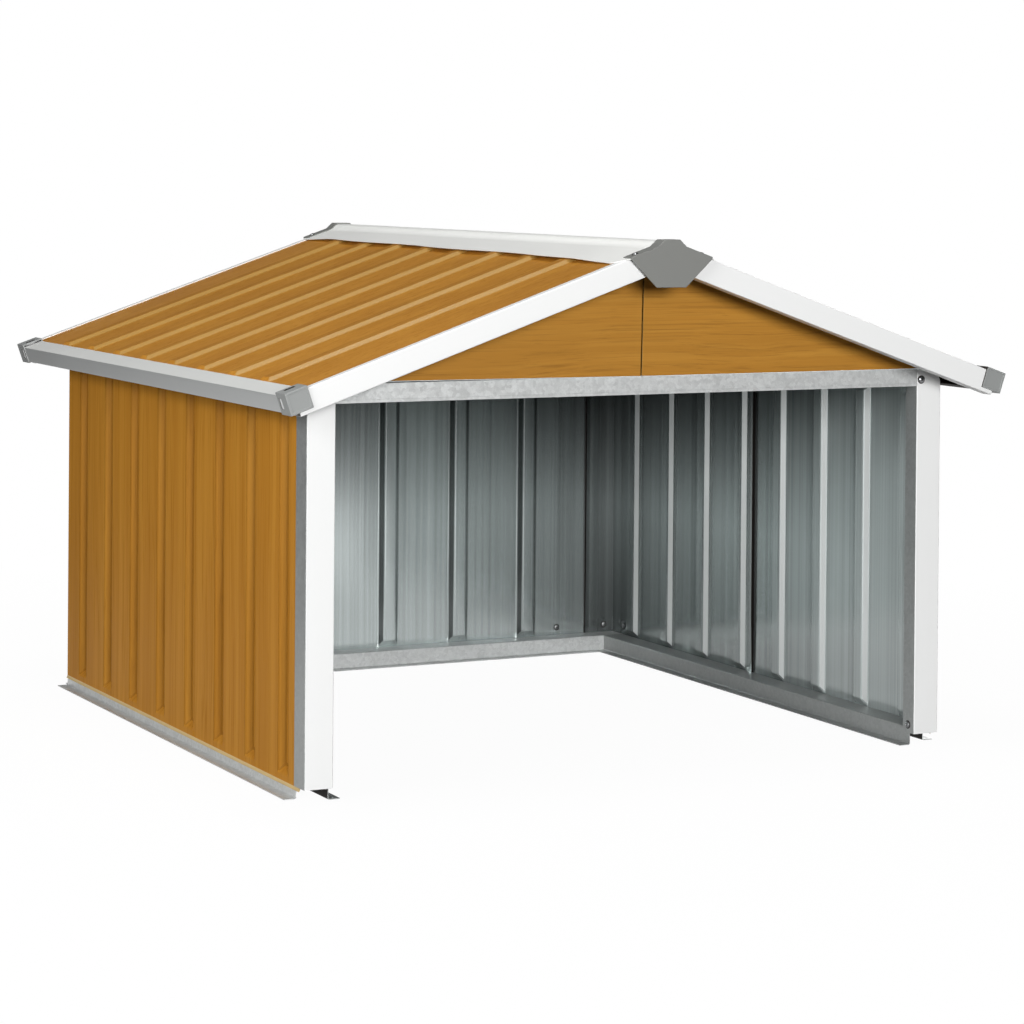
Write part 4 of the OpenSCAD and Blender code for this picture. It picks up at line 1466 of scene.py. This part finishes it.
class SHELTER_OT_stage(bpy.types.Operator):
    """Sets the camera, the floor, the lamps and the light from all round"""

    bl_idname = "shelter.stage"
    bl_label = "Stage"

    # Lamps by the setting of their power: width and height, place
    LAMPS = {
        "key": ((1.8, 1.1), (-0.95, -5.15, 1.3)),
        "side": ((1.5, 1.3), (-2.8, -1.05, 1.1)),
        "top": ((1.0, 1.0), (-0.4, -0.4, 3.4)),
        "fill": ((1.6, 1.2), (3.4, 2.4, 1.3)),
    }
    # What the lamps point at
    TARGET = (0, 0, 0.25)
    # Edges of the white part that opens from the camera: sideways per depth, from dark to white
    LEFT_EDGE, RIGHT_EDGE = (-0.33, -0.19), (1.1, 0.2)
    # Ways on the floor: to the left across the view, and towards the camera
    LEFTWARD, CAMERAWARD = (-0.788, 0.616, 0), (-0.43, -0.9, 0)
    # Half width of the floor, and its depth below the shelter's feet
    FLOOR_HALF, FLOOR_DEPTH = 60.0, 0.0004

    def camera(self, studio):
        data = bpy.data.cameras.new("camera")
        data.lens = studio.lens
        data.sensor_width = 36.0
        data.shift_y = studio.drop
        camera = bpy.data.objects.new("camera", data)
        turned = (Matrix.Rotation(-studio.turn, 4, "Z")
                  @ Matrix.Rotation(math.pi / 2 - studio.tilt, 4, "X")
                  @ Matrix.Rotation(studio.roll, 4, "Z"))
        camera.matrix_world = Matrix.Translation(studio.place) @ turned
        bpy.context.scene.collection.objects.link(camera)
        bpy.context.scene.camera = camera

    def lamp(self, name, power, size, place):
        data = bpy.data.lights.new(name, "AREA")
        data.energy = power
        data.shape = "RECTANGLE"
        data.size, data.size_y = size
        lamp = bpy.data.objects.new(name, data)
        way = Vector(self.TARGET) - Vector(place)
        turned = way.to_track_quat("-Z", "Y").to_matrix().to_4x4()
        lamp.matrix_world = Matrix.Translation(place) @ turned
        bpy.context.scene.collection.objects.link(lamp)

    def seen(self, tree, straight, mirrored):
        """Share of white for the rays that see the studio straight, and for mirrored ones."""
        path = node(tree, "ShaderNodeLightPath").outputs
        through = math_node(tree, "MAXIMUM", path["Is Glossy Ray"], path["Is Transmission Ray"])
        return math_node(tree, "MAXIMUM",
                         math_node(tree, "MULTIPLY", path["Is Camera Ray"], straight),
                         math_node(tree, "MULTIPLY", through, mirrored))

    def pool(self, tree, studio, place):
        """Mask of the white part of the studio, which opens from the camera's foot."""
        ahead = Vector((math.sin(studio.turn), math.cos(studio.turn), 0))
        right = Vector((ahead.y, -ahead.x, 0))
        depth = math_node(tree, "MAXIMUM", dot(tree, place, ahead), 0.01)
        ratio = math_node(tree, "DIVIDE", dot(tree, place, right), depth)
        return math_node(tree, "MULTIPLY", spread(tree, ratio, *self.LEFT_EDGE),
                         spread(tree, ratio, *self.RIGHT_EDGE))

    def front_left(self, tree, place, start, end):
        """Mask of what lies to the front left of the camera, which the ribs inside mirror."""
        left, front = (dot(tree, place, way) for way in (self.LEFTWARD, -Y))
        return math_node(tree, "MULTIPLY", spread(tree, left, start, end),
                         spread(tree, front, 0.2, 0.5))

    def floor(self, studio):
        bm = bmesh.new()
        bmesh.ops.create_grid(bm, x_segments=1, y_segments=1, size=self.FLOOR_HALF)
        bmesh.ops.translate(bm, vec=(0, 0, -self.FLOOR_DEPTH), verts=bm.verts)
        mesh = bpy.data.meshes.new("floor")
        bm.to_mesh(mesh)
        bm.free()
        floor = bpy.data.objects.new("floor", mesh)
        bpy.context.scene.collection.objects.link(floor)
        material = bpy.data.materials.new("pale_floor")
        material.use_nodes = True
        tree = material.node_tree
        tree.nodes.remove(tree.nodes["Principled BSDF"])
        straight = node(tree, "ShaderNodeLightPath").outputs["Is Camera Ray"]
        colour = blend(tree, straight, (*studio.floor, 1), PALE)
        matte = node(tree, "ShaderNodeBsdfDiffuse", {"Color": colour}).outputs[0]
        white = node(tree, "ShaderNodeEmission", {"Color": WHITE, "Strength": 1.0}).outputs[0]
        ground = node(tree, "ShaderNodeTexCoord").outputs["Object"]
        place = node(tree, "ShaderNodeVectorMath", {0: ground, 1: studio.place},
                     operation="SUBTRACT").outputs[0]
        away = node(tree, "ShaderNodeVectorMath", {0: ground}, operation="LENGTH").outputs["Value"]
        glow = spread(tree, away, 0.5, 1.6, studio.glow, 1.0)
        near = spread(tree, dot(tree, ground, self.CAMERAWARD), 0.9, 3.0, 1.0, 0.04)
        pool = math_node(tree, "MULTIPLY", near, self.pool(tree, studio, place))
        white_part = math_node(tree, "MAXIMUM", pool, self.front_left(tree, ground, 0.05, 0.25))
        # Painted shade: in mirrors the floor under the roof is less white
        under_roof = spread(tree, away, 0.35, 0.9, studio.shade, 1.0)
        mirrored = math_node(tree, "MULTIPLY", white_part, under_roof)
        share = self.seen(tree, glow, mirrored)
        mixed = node(tree, "ShaderNodeMixShader", {0: share, 1: matte, 2: white}).outputs[0]
        tree.links.new(mixed, tree.nodes["Material Output"].inputs["Surface"])
        mesh.materials.append(material)

    def sky(self, studio):
        world = bpy.data.worlds.new("studio")
        world.use_nodes = True
        tree = world.node_tree
        around = tree.nodes["Background"]
        around.inputs["Color"].default_value = WHITE
        around.inputs["Strength"].default_value = studio.sky
        white = node(tree, "ShaderNodeBackground", {"Color": WHITE, "Strength": 1.0}).outputs[0]
        way = node(tree, "ShaderNodeTexCoord").outputs["Generated"]
        height = node(tree, "ShaderNodeSeparateXYZ", {0: way}).outputs["Z"]
        white_part = math_node(tree, "MAXIMUM", self.pool(tree, studio, way),
                               self.front_left(tree, way, 0.02, 0.15))
        mirrored = math_node(tree, "MULTIPLY", white_part, spread(tree, height, 0.22, 0.10))
        share = self.seen(tree, 1.0, mirrored)
        mixed = node(tree, "ShaderNodeMixShader", {
            0: share, 1: around.outputs[0], 2: white}).outputs[0]
        tree.links.new(mixed, tree.nodes["World Output"].inputs["Surface"])
        bpy.context.scene.world = world

    def execute(self, context):
        studio = context.scene.shelter_studio
        self.camera(studio)
        self.floor(studio)
        self.sky(studio)
        for name, (size, place) in self.LAMPS.items():
            self.lamp(name, getattr(studio, name), size, place)
        context.scene.view_settings.view_transform = "Standard"
        return {"FINISHED"}


OPERATORS = (
    SHELTER_OT_base_rails,
    SHELTER_OT_front_posts,
    SHELTER_OT_wall_sheets,
    SHELTER_OT_wall_frame,
    SHELTER_OT_gables,
    SHELTER_OT_roof_sheets,
    SHELTER_OT_ridge,
    SHELTER_OT_roof_trims,
    SHELTER_OT_eave_caps,
    SHELTER_OT_screws,
    SHELTER_OT_stage,
)


class SHELTER_PT_parts(bpy.types.Panel):
    """Lists the steps that build the shelter"""

    bl_idname = "SHELTER_PT_parts"
    bl_label = "Mower Shelter"
    bl_space_type = "VIEW_3D"
    bl_region_type = "UI"
    bl_category = "Shelter"

    def draw(self, context):
        for step in OPERATORS:
            self.layout.operator(step.bl_idname)


CLASSES = (*SETTINGS.values(), *OPERATORS, SHELTER_PT_parts)


def register():
    for item in CLASSES:
        bpy.utils.register_class(item)
    for name, group in SETTINGS.items():
        setattr(bpy.types.Scene, name, PointerProperty(type=group))


def unregister():
    for name in SETTINGS:
        delattr(bpy.types.Scene, name)
    for item in reversed(CLASSES):
        bpy.utils.unregister_class(item)


def main():
    register()
    for step in OPERATORS:
        group, name = step.bl_idname.split(".")
        getattr(getattr(bpy.ops, group), name)()


if __name__ == "__main__":
    main()
